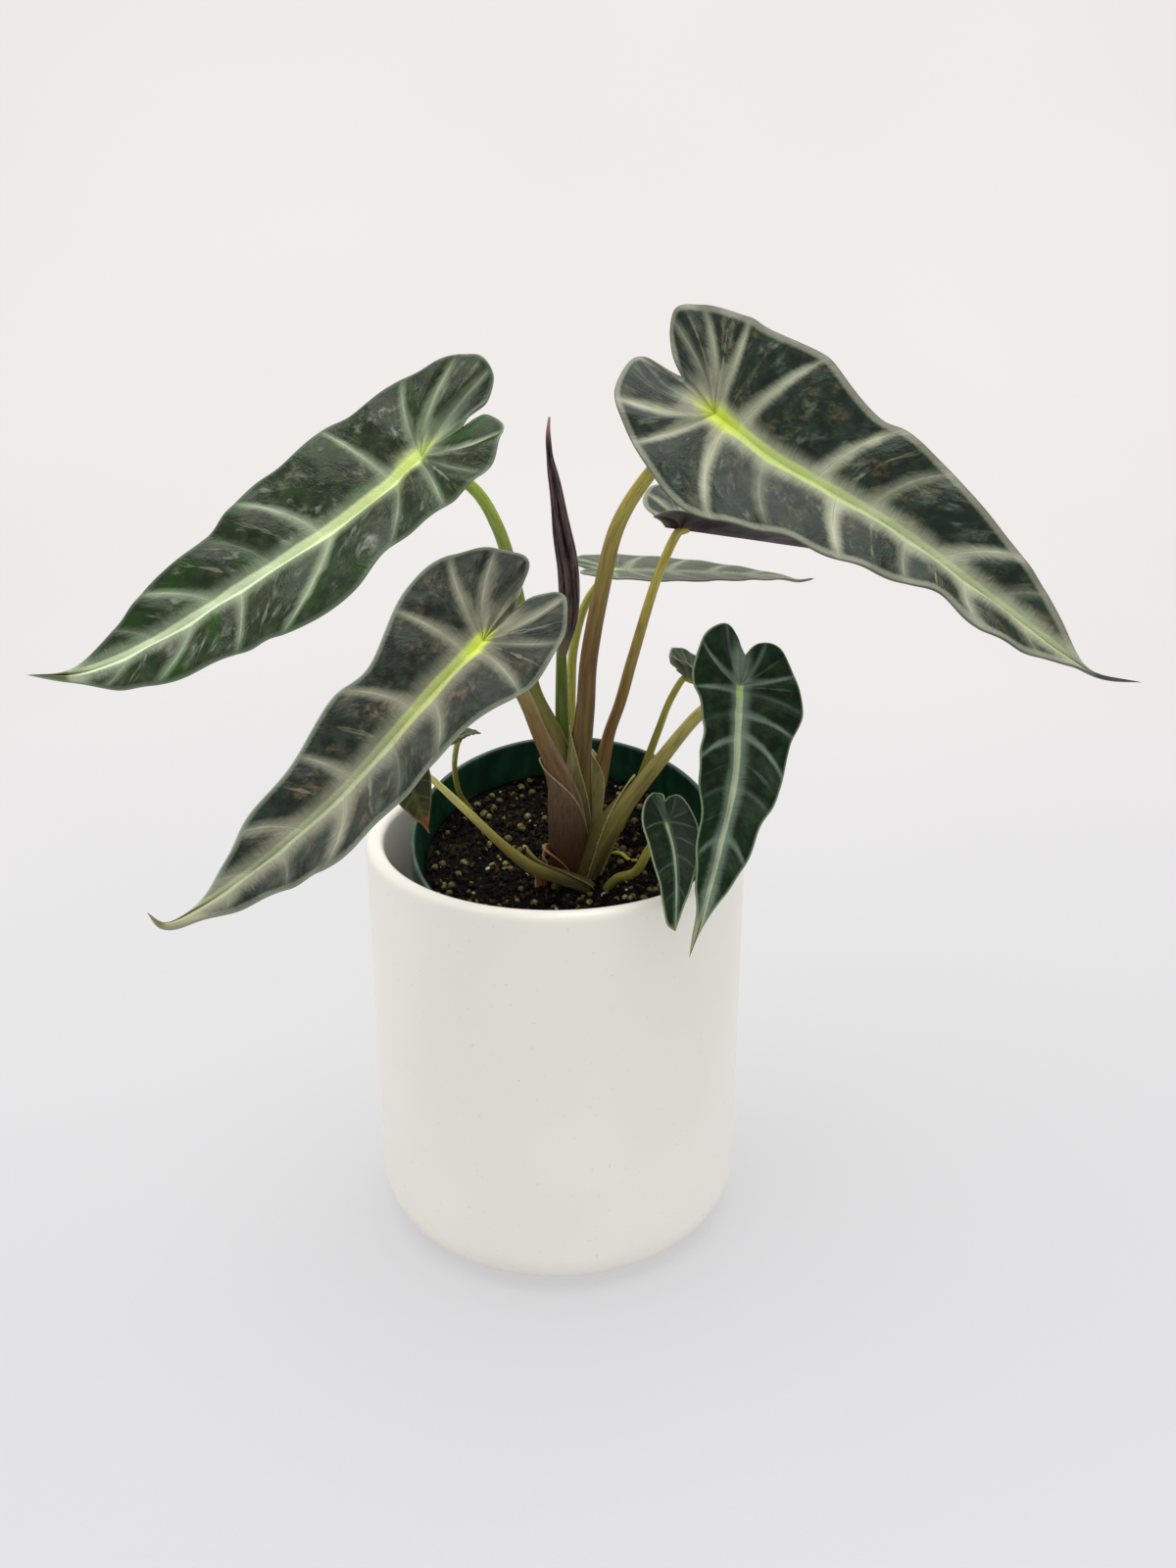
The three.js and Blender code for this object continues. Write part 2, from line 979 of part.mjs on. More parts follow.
function nurseryPotSolid() {
  const { rimRadius, rimThickness, bandHeight, baseRadius, height, wall, sides } = NURSERY_POT;
  const { edgeRound, baseEdge, drains, drainRadius, drainCircle, drainSides } = NURSERY_POT;
  const inside = rimRadius - rimThickness;
  const corner = -height + baseEdge;
  const profile = [
    [0, -height],
    [baseRadius - baseEdge, -height],
    [baseRadius, corner],
    [wallRadius(-bandHeight), -bandHeight],
    [rimRadius - edgeRound, -bandHeight],
    [rimRadius, -edgeRound],
    [rimRadius - edgeRound, 0],
    [inside + edgeRound, 0],
    [inside, -edgeRound],
    [wallRadius(-bandHeight) - wall, -bandHeight],
    [wallRadius(corner) - wall, corner],
    [baseRadius - wall - baseEdge, -height + wall],
    [0, -height + wall],
  ];
  let pot = solidOf(turned(profile, sides));
  for (let i = 0; i < drains; i += 1) {
    const angle = (2 * Math.PI * (i + 0.5)) / drains;
    const drain = new THREE.CylinderGeometry(drainRadius, drainRadius, 6 * wall, drainSides);
    drain.rotateX(Math.PI / 2);
    drain.translate(drainCircle * Math.cos(angle), drainCircle * Math.sin(angle), -height);
    pot = pot.subtract(solidOf(drain));
  }
  return solidOf(geometryOf(pot).applyMatrix4(nurseryPlace));
}

// Height of the soil over its level at a radius and an angle.
function soilBump(radius, angle) {
  const waves = Math.sin(3 * angle + radius / 7) + Math.sin(5 * angle - radius / 4);
  const bowl = SOIL.raisedAtWall * (radius / NURSERY_POT.rimRadius) ** 2;
  return bowl + (0.5 * SOIL.bump * waves * radius) / NURSERY_POT.rimRadius;
}

// The soil fills the nursery pot to below its rim, with grains standing out of it.
function soilSolid(random) {
  const { height, wall, sides } = NURSERY_POT;
  const low = -height + wall + CLEARANCE + 1;
  const lowRadius = wallRadius(low) - wall - CLEARANCE - 0.6;
  const high = -SOIL.belowRim;
  const highRadius = wallRadius(high) - wall - CLEARANCE;
  const positions = [0, 0, low, 0, 0, high + soilBump(0, 0)];
  const faces = [];
  const ringStart = (ring) => 2 + ring * sides;
  for (let ring = 0; ring <= SOIL.rings; ring += 1) {
    for (let side = 0; side < sides; side += 1) {
      const angle = (2 * Math.PI * side) / sides;
      const radius = ring === 0 ? lowRadius : (highRadius * (SOIL.rings + 1 - ring)) / SOIL.rings;
      const level = ring === 0 ? low : high + soilBump(radius, angle);
      positions.push(radius * Math.cos(angle), radius * Math.sin(angle), level);
    }
  }
  for (let side = 0; side < sides; side += 1) {
    const next = (side + 1) % sides;
    faces.push(0, ringStart(0) + next, ringStart(0) + side);
    for (let ring = 0; ring < SOIL.rings; ring += 1) {
      const low1 = ringStart(ring) + side;
      const low2 = ringStart(ring) + next;
      const high1 = ringStart(ring + 1) + side;
      const high2 = ringStart(ring + 1) + next;
      faces.push(low1, low2, high2, low1, high2, high1);
    }
    faces.push(ringStart(SOIL.rings) + side, ringStart(SOIL.rings) + next, 1);
  }
  const body = new THREE.BufferGeometry();
  body.setAttribute("position", new THREE.Float32BufferAttribute(positions, 3));
  body.setIndex(faces);
  let soil = solidOf(body);
  for (let grain = 0; grain < SOIL.prills + SOIL.chips; grain += 1) {
    const round = grain < SOIL.prills;
    const [smallest, largest] = round ? SOIL.prillRadius : SOIL.chipRadius;
    const size = lerp(smallest, largest, random());
    const shape = round
      ? new THREE.IcosahedronGeometry(size, 0)
      : new THREE.OctahedronGeometry(size, 0).scale(1, lerp(0.5, 1, random()), 0.6);
    const radius = (highRadius - 3) * Math.sqrt(random());
    const angle = 2 * Math.PI * random();
    shape.rotateX(random() * 3).rotateZ(random() * 3);
    shape.translate(
      radius * Math.cos(angle),
      radius * Math.sin(angle),
      high + soilBump(radius, angle) + 0.25 * size,
    );
    soil = soil.add(solidOf(shape));
  }
  return solidOf(geometryOf(mainBody(soil)).applyMatrix4(nurseryPlace));
}

function stemBaseSolid(grown = 0) {
  const { centre, radius, bottom, top, shoulder, sides } = STEM_BASE;
  const profile = [
    [0, bottom - grown],
    [radius * 0.55 + grown, bottom - grown],
    [radius + grown, bottom + shoulder],
    [radius + grown, top - shoulder],
    [radius * 0.8 + grown, top + grown],
    [0, top + shoulder / 3 + grown],
  ];
  return solidOf(turned(profile, sides).translate(centre[0], centre[1], 0));
}

// Leaves from the innermost to the outermost: each stalk is cut to clasp the earlier ones.
const leaves = [
  {
    name: "top_left",
    blade: TOP_LEFT_LEAF,
    stalk: TOP_LEFT_STALK,
    substeps: 4,
    colour: COLOUR.darkLeaf,
  },
  {
    name: "top_right",
    blade: TOP_RIGHT_LEAF,
    stalk: TOP_RIGHT_STALK,
    substeps: 4,
    colour: COLOUR.darkLeaf,
  },
  {
    name: "behind",
    blade: withCommonOutline(BEHIND_LEAF),
    stalk: BEHIND_STALK,
    substeps: 3,
    colour: COLOUR.darkLeaf,
  },
  {
    name: "front_left",
    blade: FRONT_LEFT_LEAF,
    stalk: FRONT_LEFT_STALK,
    substeps: 4,
    colour: COLOUR.darkLeaf,
  },
  {
    name: "hanging",
    blade: HANGING_LEAF,
    stalk: HANGING_STALK,
    substeps: 3,
    colour: COLOUR.darkLeaf,
  },
  {
    name: "back",
    blade: withCommonOutline(BACK_LEAF),
    stalk: BACK_STALK,
    substeps: 3,
    colour: COLOUR.paleLeaf,
  },
  {
    name: "yellowing",
    blade: withCommonOutline(YELLOWING_LEAF),
    stalk: YELLOWING_STALK,
    substeps: 2,
    colour: COLOUR.oldLeaf,
  },
  {
    name: "small",
    blade: SMALL_LEAF,
    stalk: SMALL_STALK,
    substeps: 3,
    colour: COLOUR.darkLeaf,
  },
  {
    name: "tiny_right",
    blade: withCommonOutline(TINY_RIGHT_LEAF),
    stalk: TINY_RIGHT_STALK,
    substeps: 2,
    colour: COLOUR.paleLeaf,
  },
  {
    name: "tiny_left",
    blade: withCommonOutline(TINY_LEFT_LEAF),
    stalk: TINY_LEFT_STALK,
    substeps: 2,
    colour: COLOUR.paleLeaf,
  },
];

addPiece("outer_pot", outerPotSolid(), COLOUR.glaze, 0.35);
addPiece("nursery_pot", nurseryPotSolid(), COLOUR.nurseryGreen, 0.45);
addPiece("leaf_rolled", solidOf(stalkGeometry(ROLLED_LEAF)), COLOUR.rolledLeaf, 0.4);

const rolledStalk = solidOf(stalkGeometry(ROLLED_STALK))
  .subtract(solidOf(stalkGeometry(ROLLED_LEAF, CLEARANCE)));
addPiece("stalk_rolled", mainBody(rolledStalk), COLOUR.youngStalk, 0.5);

let inTheWay = solidOf(stalkGeometry(ROLLED_STALK, CLEARANCE))
  .add(solidOf(stalkGeometry(ROLLED_LEAF, CLEARANCE)));
for (const { name, blade, stalk, substeps, colour } of leaves) {
  addPiece("leaf_" + name, solidOf(bladeGeometry(blade, substeps)), colour, 0.4);
  const roomForBlade = solidOf(bladeGeometry(blade, substeps, CLEARANCE, CLEARANCE));
  const clasping = solidOf(stalkGeometry(stalk)).subtract(inTheWay).subtract(roomForBlade);
  addPiece("stalk_" + name, mainBody(clasping), COLOUR.stalk, 0.5);
  inTheWay = inTheWay.add(solidOf(stalkGeometry(stalk, CLEARANCE)));
}

addPiece("young_shoot", solidOf(stalkGeometry(YOUNG_SHOOT)), COLOUR.youngStalk, 0.5);
inTheWay = inTheWay.add(solidOf(stalkGeometry(YOUNG_SHOOT, CLEARANCE)));

const stemBase = mainBody(stemBaseSolid().subtract(inTheWay));
addPiece("stem_base", stemBase, COLOUR.bark, 0.8);
inTheWay = inTheWay.add(stemBaseSolid(CLEARANCE));

const flake = withCommonOutline(DRY_SHEATH);
const drySheath = mainBody(solidOf(bladeGeometry(flake, 1)).subtract(inTheWay));
addPiece("dry_sheath", drySheath, COLOUR.drySheath, 0.8);
inTheWay = inTheWay.add(solidOf(bladeGeometry(flake, 1, CLEARANCE, CLEARANCE)));

const soil = mainBody(soilSolid(seededRandom(SOIL.seed)).subtract(inTheWay));
addPiece("soil", soil, COLOUR.soil, 0.95);

export default plant;
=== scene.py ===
# A potted bambino alocasia: the finish of each piece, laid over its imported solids.
import math

import bmesh
import bpy
import numpy as np
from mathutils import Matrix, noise


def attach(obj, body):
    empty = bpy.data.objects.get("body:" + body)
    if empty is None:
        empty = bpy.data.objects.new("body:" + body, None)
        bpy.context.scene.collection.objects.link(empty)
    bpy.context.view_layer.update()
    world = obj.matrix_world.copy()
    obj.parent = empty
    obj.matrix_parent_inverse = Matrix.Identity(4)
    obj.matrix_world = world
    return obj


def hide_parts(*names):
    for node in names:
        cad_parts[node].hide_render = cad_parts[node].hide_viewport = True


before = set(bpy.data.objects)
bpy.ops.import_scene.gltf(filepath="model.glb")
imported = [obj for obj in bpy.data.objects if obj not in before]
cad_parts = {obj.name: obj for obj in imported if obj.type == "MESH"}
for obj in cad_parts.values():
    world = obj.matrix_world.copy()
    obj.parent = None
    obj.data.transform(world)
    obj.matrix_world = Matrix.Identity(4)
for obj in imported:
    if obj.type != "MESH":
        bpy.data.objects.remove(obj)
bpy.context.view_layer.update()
MM = 0.001

# Camera
# It stands in front of the plant and looks down on it, from the photograph's place, and
# with its angle of view.
CAMERA_PLACE = (10.8, -459.5, 347.0)
CAMERA_DOWN = 22.32
FOCAL_PIXELS = 1526
PICTURE_HEIGHT = 1600

lens = bpy.data.cameras.new("camera")
lens.sensor_fit = "VERTICAL"
lens.sensor_height = 36
lens.lens = lens.sensor_height * FOCAL_PIXELS / PICTURE_HEIGHT
lens.clip_start = 0.01
camera = bpy.data.objects.new("camera", lens)
camera.location = [MM * value for value in CAMERA_PLACE]
camera.rotation_euler = (math.radians(90 - CAMERA_DOWN), 0, 0)
bpy.context.scene.collection.objects.link(camera)
bpy.context.scene.camera = camera
bpy.context.scene.view_settings.view_transform = "Standard"

# Paper sweep and studio light
# The plant stands on a roll of pale paper that curves up behind it. The paper gives off a
# painted glow of its own, which lifts the shadows round the pot. One wide soft box hangs
# above it, and pale walls fill in the rest.
SWEEP_FRONT = -1500
SWEEP_FLAT = 500
SWEEP_ROUND = 900
SWEEP_TOP = 2600
SWEEP_HALF_WIDTH = 2400
PAPER_NEAR = "#c6c6c8"
PAPER_FAR = "#d6d2d0"
PAPER_REFLECTS = 0.35
PAPER_GLOWS = 0.84
ROOM_BRIGHTNESS = 0.78


def colour(code):
    """A screen colour, such as #dcdcde, in Blender's own linear values."""
    channels = [int(code[i:i + 2], 16) / 255 for i in (1, 3, 5)]
    linear = [c / 12.92 if c <= 0.04045 else ((c + 0.055) / 1.055) ** 2.4 for c in channels]
    return (*linear, 1)


def put(tree, kind, inputs=None, **settings):
    """Adds a node, with its settings, and sets its inputs to values or to other sockets."""
    new = tree.nodes.new(kind)
    for setting, value in settings.items():
        setattr(new, setting, value)
    for socket, value in (inputs or {}).items():
        if isinstance(value, bpy.types.NodeSocket):
            tree.links.new(value, new.inputs[socket])
        else:
            new.inputs[socket].default_value = value
    return new


def calc(tree, operation, *values):
    """The output of one Math node."""
    return put(tree, "ShaderNodeMath", dict(enumerate(values)), operation=operation).outputs[0]


def times(tree, first, second):
    return calc(tree, "MULTIPLY", first, second)


def plus(tree, first, second):
    return calc(tree, "ADD", first, second)


def minus(tree, first, second):
    return calc(tree, "SUBTRACT", first, second)


def fade(tree, value, start, stop, low=0.0, high=1.0):
    """Smooth step of a value: low at start, high at stop."""
    inputs = {"Value": value, "From Min": start, "From Max": stop, "To Min": low, "To Max": high}
    return put(tree, "ShaderNodeMapRange", inputs, interpolation_type="SMOOTHSTEP").outputs[0]


def blend(tree, share, first, second, mode="MIX"):
    """Two colours mixed, each given as a value or as another socket."""
    inputs = {0: share, 6: first, 7: second}
    return put(tree, "ShaderNodeMix", inputs, data_type="RGBA", blend_type=mode).outputs[2]


def tint(tree, skin, mask, code, share=1.0):
    """Lays a colour over a skin where a mask shows, at a share of the mask's strength."""
    return blend(tree, mask if share == 1 else times(tree, mask, share), skin, colour(code))


def grain(tree, where, scale, detail=3.0, rough=0.5, distortion=0.0):
    """The noise value at a place."""
    inputs = {"Vector": where, "Scale": scale, "Detail": detail, "Roughness": rough,
              "Distortion": distortion}
    return put(tree, "ShaderNodeTexNoise", inputs).outputs["Fac"]


def new_material(name, **uniform):
    """A material with one Principled shader, and its uniform values set on the shader."""
    material = bpy.data.materials.new(name)
    material.use_nodes = True
    tree = material.node_tree
    tree.nodes.clear()
    shader = put(tree, "ShaderNodeBsdfPrincipled", {k.replace("_", " "): v for k, v in uniform.items()})
    put(tree, "ShaderNodeOutputMaterial", {"Surface": shader.outputs[0]})
    return material, tree, shader


def dress(tree, shader, skin, roughness):
    """Feeds a colour and a roughness that change over the surface to the shader."""
    tree.links.new(skin, shader.inputs["Base Color"])
    tree.links.new(roughness, shader.inputs["Roughness"])


def bump(tree, shader, height, strength, distance):
    """Feeds a height through a Bump node to the shader's normal."""
    inputs = {"Height": height, "Strength": strength, "Distance": distance}
    raised = put(tree, "ShaderNodeBump", inputs)
    tree.links.new(raised.outputs[0], shader.inputs["Normal"])


def object_place(tree):
    """The place on the piece, in metres."""
    return put(tree, "ShaderNodeTexCoord").outputs["Object"]


def mapped(tree, where, **moves):
    """A place moved, turned or stretched by one Mapping node."""
    return put(tree, "ShaderNodeMapping", {"Vector": where, **moves}).outputs[0]


paper, tree, shader = new_material("sweep_paper", Roughness=0.9)
height = put(tree, "ShaderNodeSeparateXYZ", {0: object_place(tree)}).outputs[1]
# Painted shading: cool grey at the front, paler and warmer at the back and up the sweep.
shade = blend(tree, fade(tree, height, -0.2, 1.2), colour(PAPER_NEAR), colour(PAPER_FAR))
# Painted shade: soft blotches, up to three hundredths darker, over the paper.
cloud_shade = fade(tree, grain(tree, object_place(tree), 2.0, 2), 0.3, 0.7, 0.97, 1.0)
shade = blend(tree, 1.0, shade, cloud_shade, "MULTIPLY")
# Painted glow: the paper reflects only part of the light and gives off the rest itself, so the shadows
# round the pot stay pale.
tree.links.new(blend(tree, 1.0 - PAPER_REFLECTS, shade, (0, 0, 0, 1)), shader.inputs["Base Color"])
tree.links.new(shade, shader.inputs["Emission Color"])
shader.inputs["Emission Strength"].default_value = PAPER_GLOWS
bump(tree, shader, grain(tree, object_place(tree), 900), 0.05, 0.001)

turn = [math.radians(90 * i / 24) for i in range(25)]
sweep_line = [(SWEEP_FRONT, 0)]
sweep_line += [(SWEEP_FLAT + SWEEP_ROUND * math.sin(a), SWEEP_ROUND * (1 - math.cos(a))) for a in turn]
sweep_line.append((SWEEP_FLAT + SWEEP_ROUND, SWEEP_TOP))
corners = [(x * MM, y * MM, z * MM) for y, z in sweep_line for x in (-SWEEP_HALF_WIDTH, SWEEP_HALF_WIDTH)]
strips = [(2 * i, 2 * i + 1, 2 * i + 3, 2 * i + 2) for i in range(len(sweep_line) - 1)]
sweep_mesh = bpy.data.meshes.new("paper_sweep")
sweep_mesh.from_pydata(corners, [], strips)
sweep_mesh.shade_smooth()
sweep_mesh.materials.append(paper)
sweep = bpy.data.objects.new("paper_sweep", sweep_mesh)
bpy.context.scene.collection.objects.link(sweep)


def soft_box(name, place, aim, size, watts, warmth):
    """A wide rectangular light that hangs at a place, in metres, and faces another."""
    light = bpy.data.lights.new(name, "AREA")
    light.shape = "RECTANGLE"
    light.size, light.size_y = size
    light.energy = watts
    light.color = warmth
    lamp = bpy.data.objects.new(name, light)
    lamp.location = place
    direction = np.array(aim) - np.array(place)
    lamp.rotation_euler = (
        math.atan2(math.hypot(direction[0], direction[1]), -direction[2]),
        0,
        math.atan2(direction[0], -direction[1]) + math.pi,
    )
    bpy.context.scene.collection.objects.link(lamp)


soft_box("soft_box_above", (-0.04, 0.08, 1.5), (0, 0, 0.1), (1.8, 1.4), 23, (1, 0.985, 0.96))
world = bpy.data.worlds.new("white_room")
world.use_nodes = True
world.node_tree.nodes["Background"].inputs[0].default_value = (0.95, 0.97, 1, 1)
world.node_tree.nodes["Background"].inputs[1].default_value = ROOM_BRIGHTNESS
bpy.context.scene.world = world

# Outer pot
# A plain white cachepot of slip-cast ceramic, with a soft satin glaze. Its lip and its
# foot are rounded, and it stands on a flat underside.
POT_RADIUS = 63.5
POT_HEIGHT = 142
POT_WALL = 6
POT_FLOOR = 7
POT_LIP_ROUND = 2.8
POT_FOOT_ROUND = 15
POT_FOOT_RADIUS = 45
POT_INNER_ROUND = 8
POT_SIDES = 192


def arc(centre, radius, start, stop, steps):
    """Points on an arc in a turned profile, from one angle to another, in degrees."""
    angles = np.radians(np.linspace(start, stop, steps + 1))
    return [(centre[0] + radius * math.cos(a), centre[1] + radius * math.sin(a)) for a in angles]


def mesh_piece(name, points, faces, materials, replaced=(), marks=None, face_material=None):
    """Makes one welded, smooth piece from points in millimetres, and rides it on the body.

    marks holds the values that the piece's material reads, one for each point."""
    mesh = bpy.data.meshes.new(name)
    mesh.from_pydata((np.asarray(points) * MM).tolist(), [], faces)
    for mark, values in (marks or {}).items():
        kind, field = ("FLOAT_VECTOR", "vector") if values.ndim == 2 else ("FLOAT", "value")
        layer = mesh.attributes.new(mark, kind, "POINT")
        layer.data.foreach_set(field, values.astype(np.float32).ravel())
    if face_material is not None:
        mesh.polygons.foreach_set("material_index", face_material)
    welded = bmesh.new()
    welded.from_mesh(mesh)
    bmesh.ops.remove_doubles(welded, verts=welded.verts, dist=2e-6)
    if welded.calc_volume(signed=True) < 0:
        bmesh.ops.reverse_faces(welded, faces=welded.faces)
    welded.to_mesh(mesh)
    welded.free()
    mesh.shade_smooth()
    for material in materials:
        mesh.materials.append(material)
    piece = bpy.data.objects.new(name, mesh)
    bpy.context.scene.collection.objects.link(piece)
    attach(piece, "root")
    if replaced:
        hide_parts(*replaced)
    return piece


def ring_quads(index):
    """Faces between rings of numbered points, each ring closed on itself."""
    beside = np.roll(index, -1, axis=1)
    return np.stack([index[:-1], beside[:-1], beside[1:], index[1:]], -1).reshape(-1, 4)


def turned(profile, sides):
    """Points and faces of a profile, in radius and height, turned about the vertical axis."""
    angles = 2 * np.pi * np.arange(sides) / sides
    radius, height = np.array(profile, float).T
    ring = np.stack([np.cos(angles), np.sin(angles)], -1)
    points = np.zeros((len(profile), sides, 3))
    points[..., :2] = radius[:, None, None] * ring
    points[..., 2] = height[:, None]
    index = np.arange(len(profile) * sides).reshape(len(profile), sides)
    return points.reshape(-1, 3), ring_quads(index).tolist()


pot_bore = POT_RADIUS - POT_WALL
pot_profile = [(0, 0), (20, 0), (POT_FOOT_RADIUS, 0)]
pot_profile += arc((POT_RADIUS - POT_FOOT_ROUND, POT_FOOT_ROUND), POT_FOOT_ROUND, -80, 0, 22)
pot_profile += [(POT_RADIUS, z) for z in np.linspace(POT_FOOT_ROUND + 5, POT_HEIGHT - 6, 24)]
pot_profile += arc((POT_RADIUS - POT_LIP_ROUND, POT_HEIGHT - POT_LIP_ROUND), POT_LIP_ROUND, 0, 90, 10)
pot_profile += arc((pot_bore + POT_LIP_ROUND, POT_HEIGHT - POT_LIP_ROUND), POT_LIP_ROUND, 90, 180, 10)
pot_profile += [(pot_bore, z) for z in np.linspace(POT_HEIGHT - 6, POT_FLOOR + POT_INNER_ROUND + 4, 20)]
inner_turn = arc((pot_bore - POT_INNER_ROUND, POT_FLOOR + POT_INNER_ROUND), POT_INNER_ROUND, 0, -90, 8)
pot_profile += inner_turn + [(20, POT_FLOOR), (0, POT_FLOOR)]

glaze, tree, shader = new_material("white_glaze", IOR=1.5, Coat_Weight=0.5, Coat_Roughness=0.18)
where = object_place(tree)
pooling = fade(tree, grain(tree, where, 14, 2), 0.3, 0.7)
# Painted shade at the foot: the glaze turns darker and warmer over its lowest 12 mm, where it curves
# under towards the floor.
low = fade(tree, put(tree, "ShaderNodeSeparateXYZ", {0: where}).outputs[2], 0.012, 0.0)
skin = blend(tree, pooling, colour("#f2ede0"), colour("#f6f2e7"))
pin_holes = fade(tree, grain(tree, where, 700, 1), 0.73, 0.78)
skin = tint(tree, skin, pin_holes, "#b8b2a4", 0.25)
skin = tint(tree, skin, low, "#dccdb8", 0.5)
dress(tree, shader, skin, fade(tree, grain(tree, where, 60), 0.2, 0.8, 0.34, 0.46))
ripple = plus(tree, grain(tree, where, 35, 2), times(tree, grain(tree, where, 900, 2), 0.05))
bump(tree, shader, ripple, 0.12, 0.0016)
points, faces = turned(pot_profile, POT_SIDES)
mesh_piece("outer_pot_glazed", points, faces, [glaze], ["outer_pot"])

# Nursery pot
# A thin grower's pot of moulded green plastic with a rolled rim and a band under it. It
# leans towards the front, wedged in the mouth of the outer pot.
RIM_RADIUS = 52
RIM_THICKNESS = 1.9
BAND_HEIGHT = 9
BAND_STEP = 1.4
BASE_RADIUS = 40
NURSERY_HEIGHT = 75
NURSERY_WALL = 1
RIM_CENTRE = (3.5, -4.4, 142.7)
LEAN = math.radians(18)
RIM_ROUND = 0.9
EDGE_ROUND = 1.5
NURSERY_SIDES = 180


def nursery_place(points):
    """Moves points from the nursery pot's own upright frame to where it leans."""
    x, y, z = np.asarray(points, float).T
    leaning = [x, y * math.cos(LEAN) - z * math.sin(LEAN), y * math.sin(LEAN) + z * math.cos(LEAN)]
    return np.stack(leaning, -1) + RIM_CENTRE


def wall_radius(level):
    """Outer radius of the nursery pot's wall at a height, which is under zero."""
    share = (level + NURSERY_HEIGHT) / (NURSERY_HEIGHT - BAND_HEIGHT)
    return BASE_RADIUS + (RIM_RADIUS - BAND_STEP - BASE_RADIUS) * share


rim_inside = RIM_RADIUS - RIM_THICKNESS
under_band = wall_radius(-BAND_HEIGHT)
nursery_profile = [(0, -NURSERY_HEIGHT), (20, -NURSERY_HEIGHT)]
foot_centre = (BASE_RADIUS - EDGE_ROUND, -NURSERY_HEIGHT + EDGE_ROUND)
nursery_profile += arc(foot_centre, EDGE_ROUND, -90, 0, 4)
nursery_profile += [(wall_radius(z), z) for z in np.linspace(-NURSERY_HEIGHT + 4, -BAND_HEIGHT - 1, 10)]
nursery_profile += [(under_band, -BAND_HEIGHT), (RIM_RADIUS - 0.5, -BAND_HEIGHT)]
nursery_profile += arc((RIM_RADIUS - 0.4, -BAND_HEIGHT + 0.4), 0.4, -90, 0, 3)
nursery_profile += arc((RIM_RADIUS - RIM_ROUND, -RIM_ROUND), RIM_ROUND, 0, 90, 6)
nursery_profile += arc((rim_inside + RIM_ROUND, -RIM_ROUND), RIM_ROUND, 90, 180, 6)
nursery_profile += [(rim_inside, -3), (rim_inside - 0.2, -BAND_HEIGHT + 1.5)]
inner_levels = np.linspace(-BAND_HEIGHT, -NURSERY_HEIGHT + 4, 12)
nursery_profile += [(wall_radius(z) - NURSERY_WALL, z) for z in inner_levels]
inner_floor = -NURSERY_HEIGHT + NURSERY_WALL
nursery_profile += [(BASE_RADIUS - 3, inner_floor), (0, inner_floor)]

plastic, tree, shader = new_material("green_plastic", IOR=1.49)
where = object_place(tree)
drawn = mapped(tree, where, Scale=(1, 1, 0.1))
worn = fade(tree, grain(tree, drawn, 260, 4), 0.35, 0.75)
skin = blend(tree, worn, colour("#0d2f20"), colour("#1a4a33"))
dust = fade(tree, grain(tree, where, 90, 5, 0.7), 0.58, 0.75)
skin = tint(tree, skin, dust, "#6e8474", 0.3)
dress(tree, shader, skin, fade(tree, grain(tree, where, 120), 0.3, 0.7, 0.3, 0.5))
bump(tree, shader, grain(tree, drawn, 400), 0.15, 0.0006)
points, faces = turned(nursery_profile, NURSERY_SIDES)
mesh_piece("nursery_pot_shell", nursery_place(points), faces, [plastic], ["nursery_pot"])

# Potting soil
# Dark moist peat with bark, fibres, white grit and round yellowish feed prills. It fills
# the nursery pot to below its rim, and is loosely crumbled on top.
SOIL_BELOW_RIM = 16
SOIL_RAISED_AT_WALL = 1.8
SOIL_BUMP = 0.9
SOIL_RINGS = 64
SOIL_SIDES = 220
CRUMBLE = 1.1


def soil_level(radius, angle):
    """Height of the soil in the nursery pot's own frame."""
    waves = np.sin(3 * angle + radius / 7) + np.sin(5 * angle - radius / 4)
    bowl = SOIL_RAISED_AT_WALL * (radius / RIM_RADIUS) ** 2
    return -SOIL_BELOW_RIM + bowl + 0.5 * SOIL_BUMP * waves * radius / RIM_RADIUS


def crumbled(x, y):
    """Height of the crumbs over the soil's smooth level."""
    coarse = noise.fractal((x * 0.16, y * 0.16, 3.1), 0.8, 2.1, 4)
    fine = noise.fractal((x * 0.7, y * 0.7, 8.4), 0.6, 2.2, 3)
    return CRUMBLE * (0.8 * coarse + 0.45 * fine)


soil_foot = inner_floor + 1.3
foot_radius = wall_radius(soil_foot) - NURSERY_WALL - 0.9
top_radius = wall_radius(-SOIL_BELOW_RIM) - NURSERY_WALL - 0.3
ring_radii = top_radius * np.linspace(1, 0, SOIL_RINGS + 1) ** 0.8
angles = 2 * np.pi * np.arange(SOIL_SIDES) / SOIL_SIDES
points = np.zeros((SOIL_RINGS + 3, SOIL_SIDES, 3))
for row, radius in enumerate([0, foot_radius, *ring_radii]):
    points[row, :, 0] = radius * np.cos(angles)
    points[row, :, 1] = radius * np.sin(angles)
    points[row, :, 2] = soil_foot if row < 2 else soil_level(radius, angles)
for point in points[3:].reshape(-1, 3):
    point[2] += crumbled(point[0], point[1])
faces = ring_quads(np.arange(points.size // 3).reshape(points.shape[:2])).tolist()

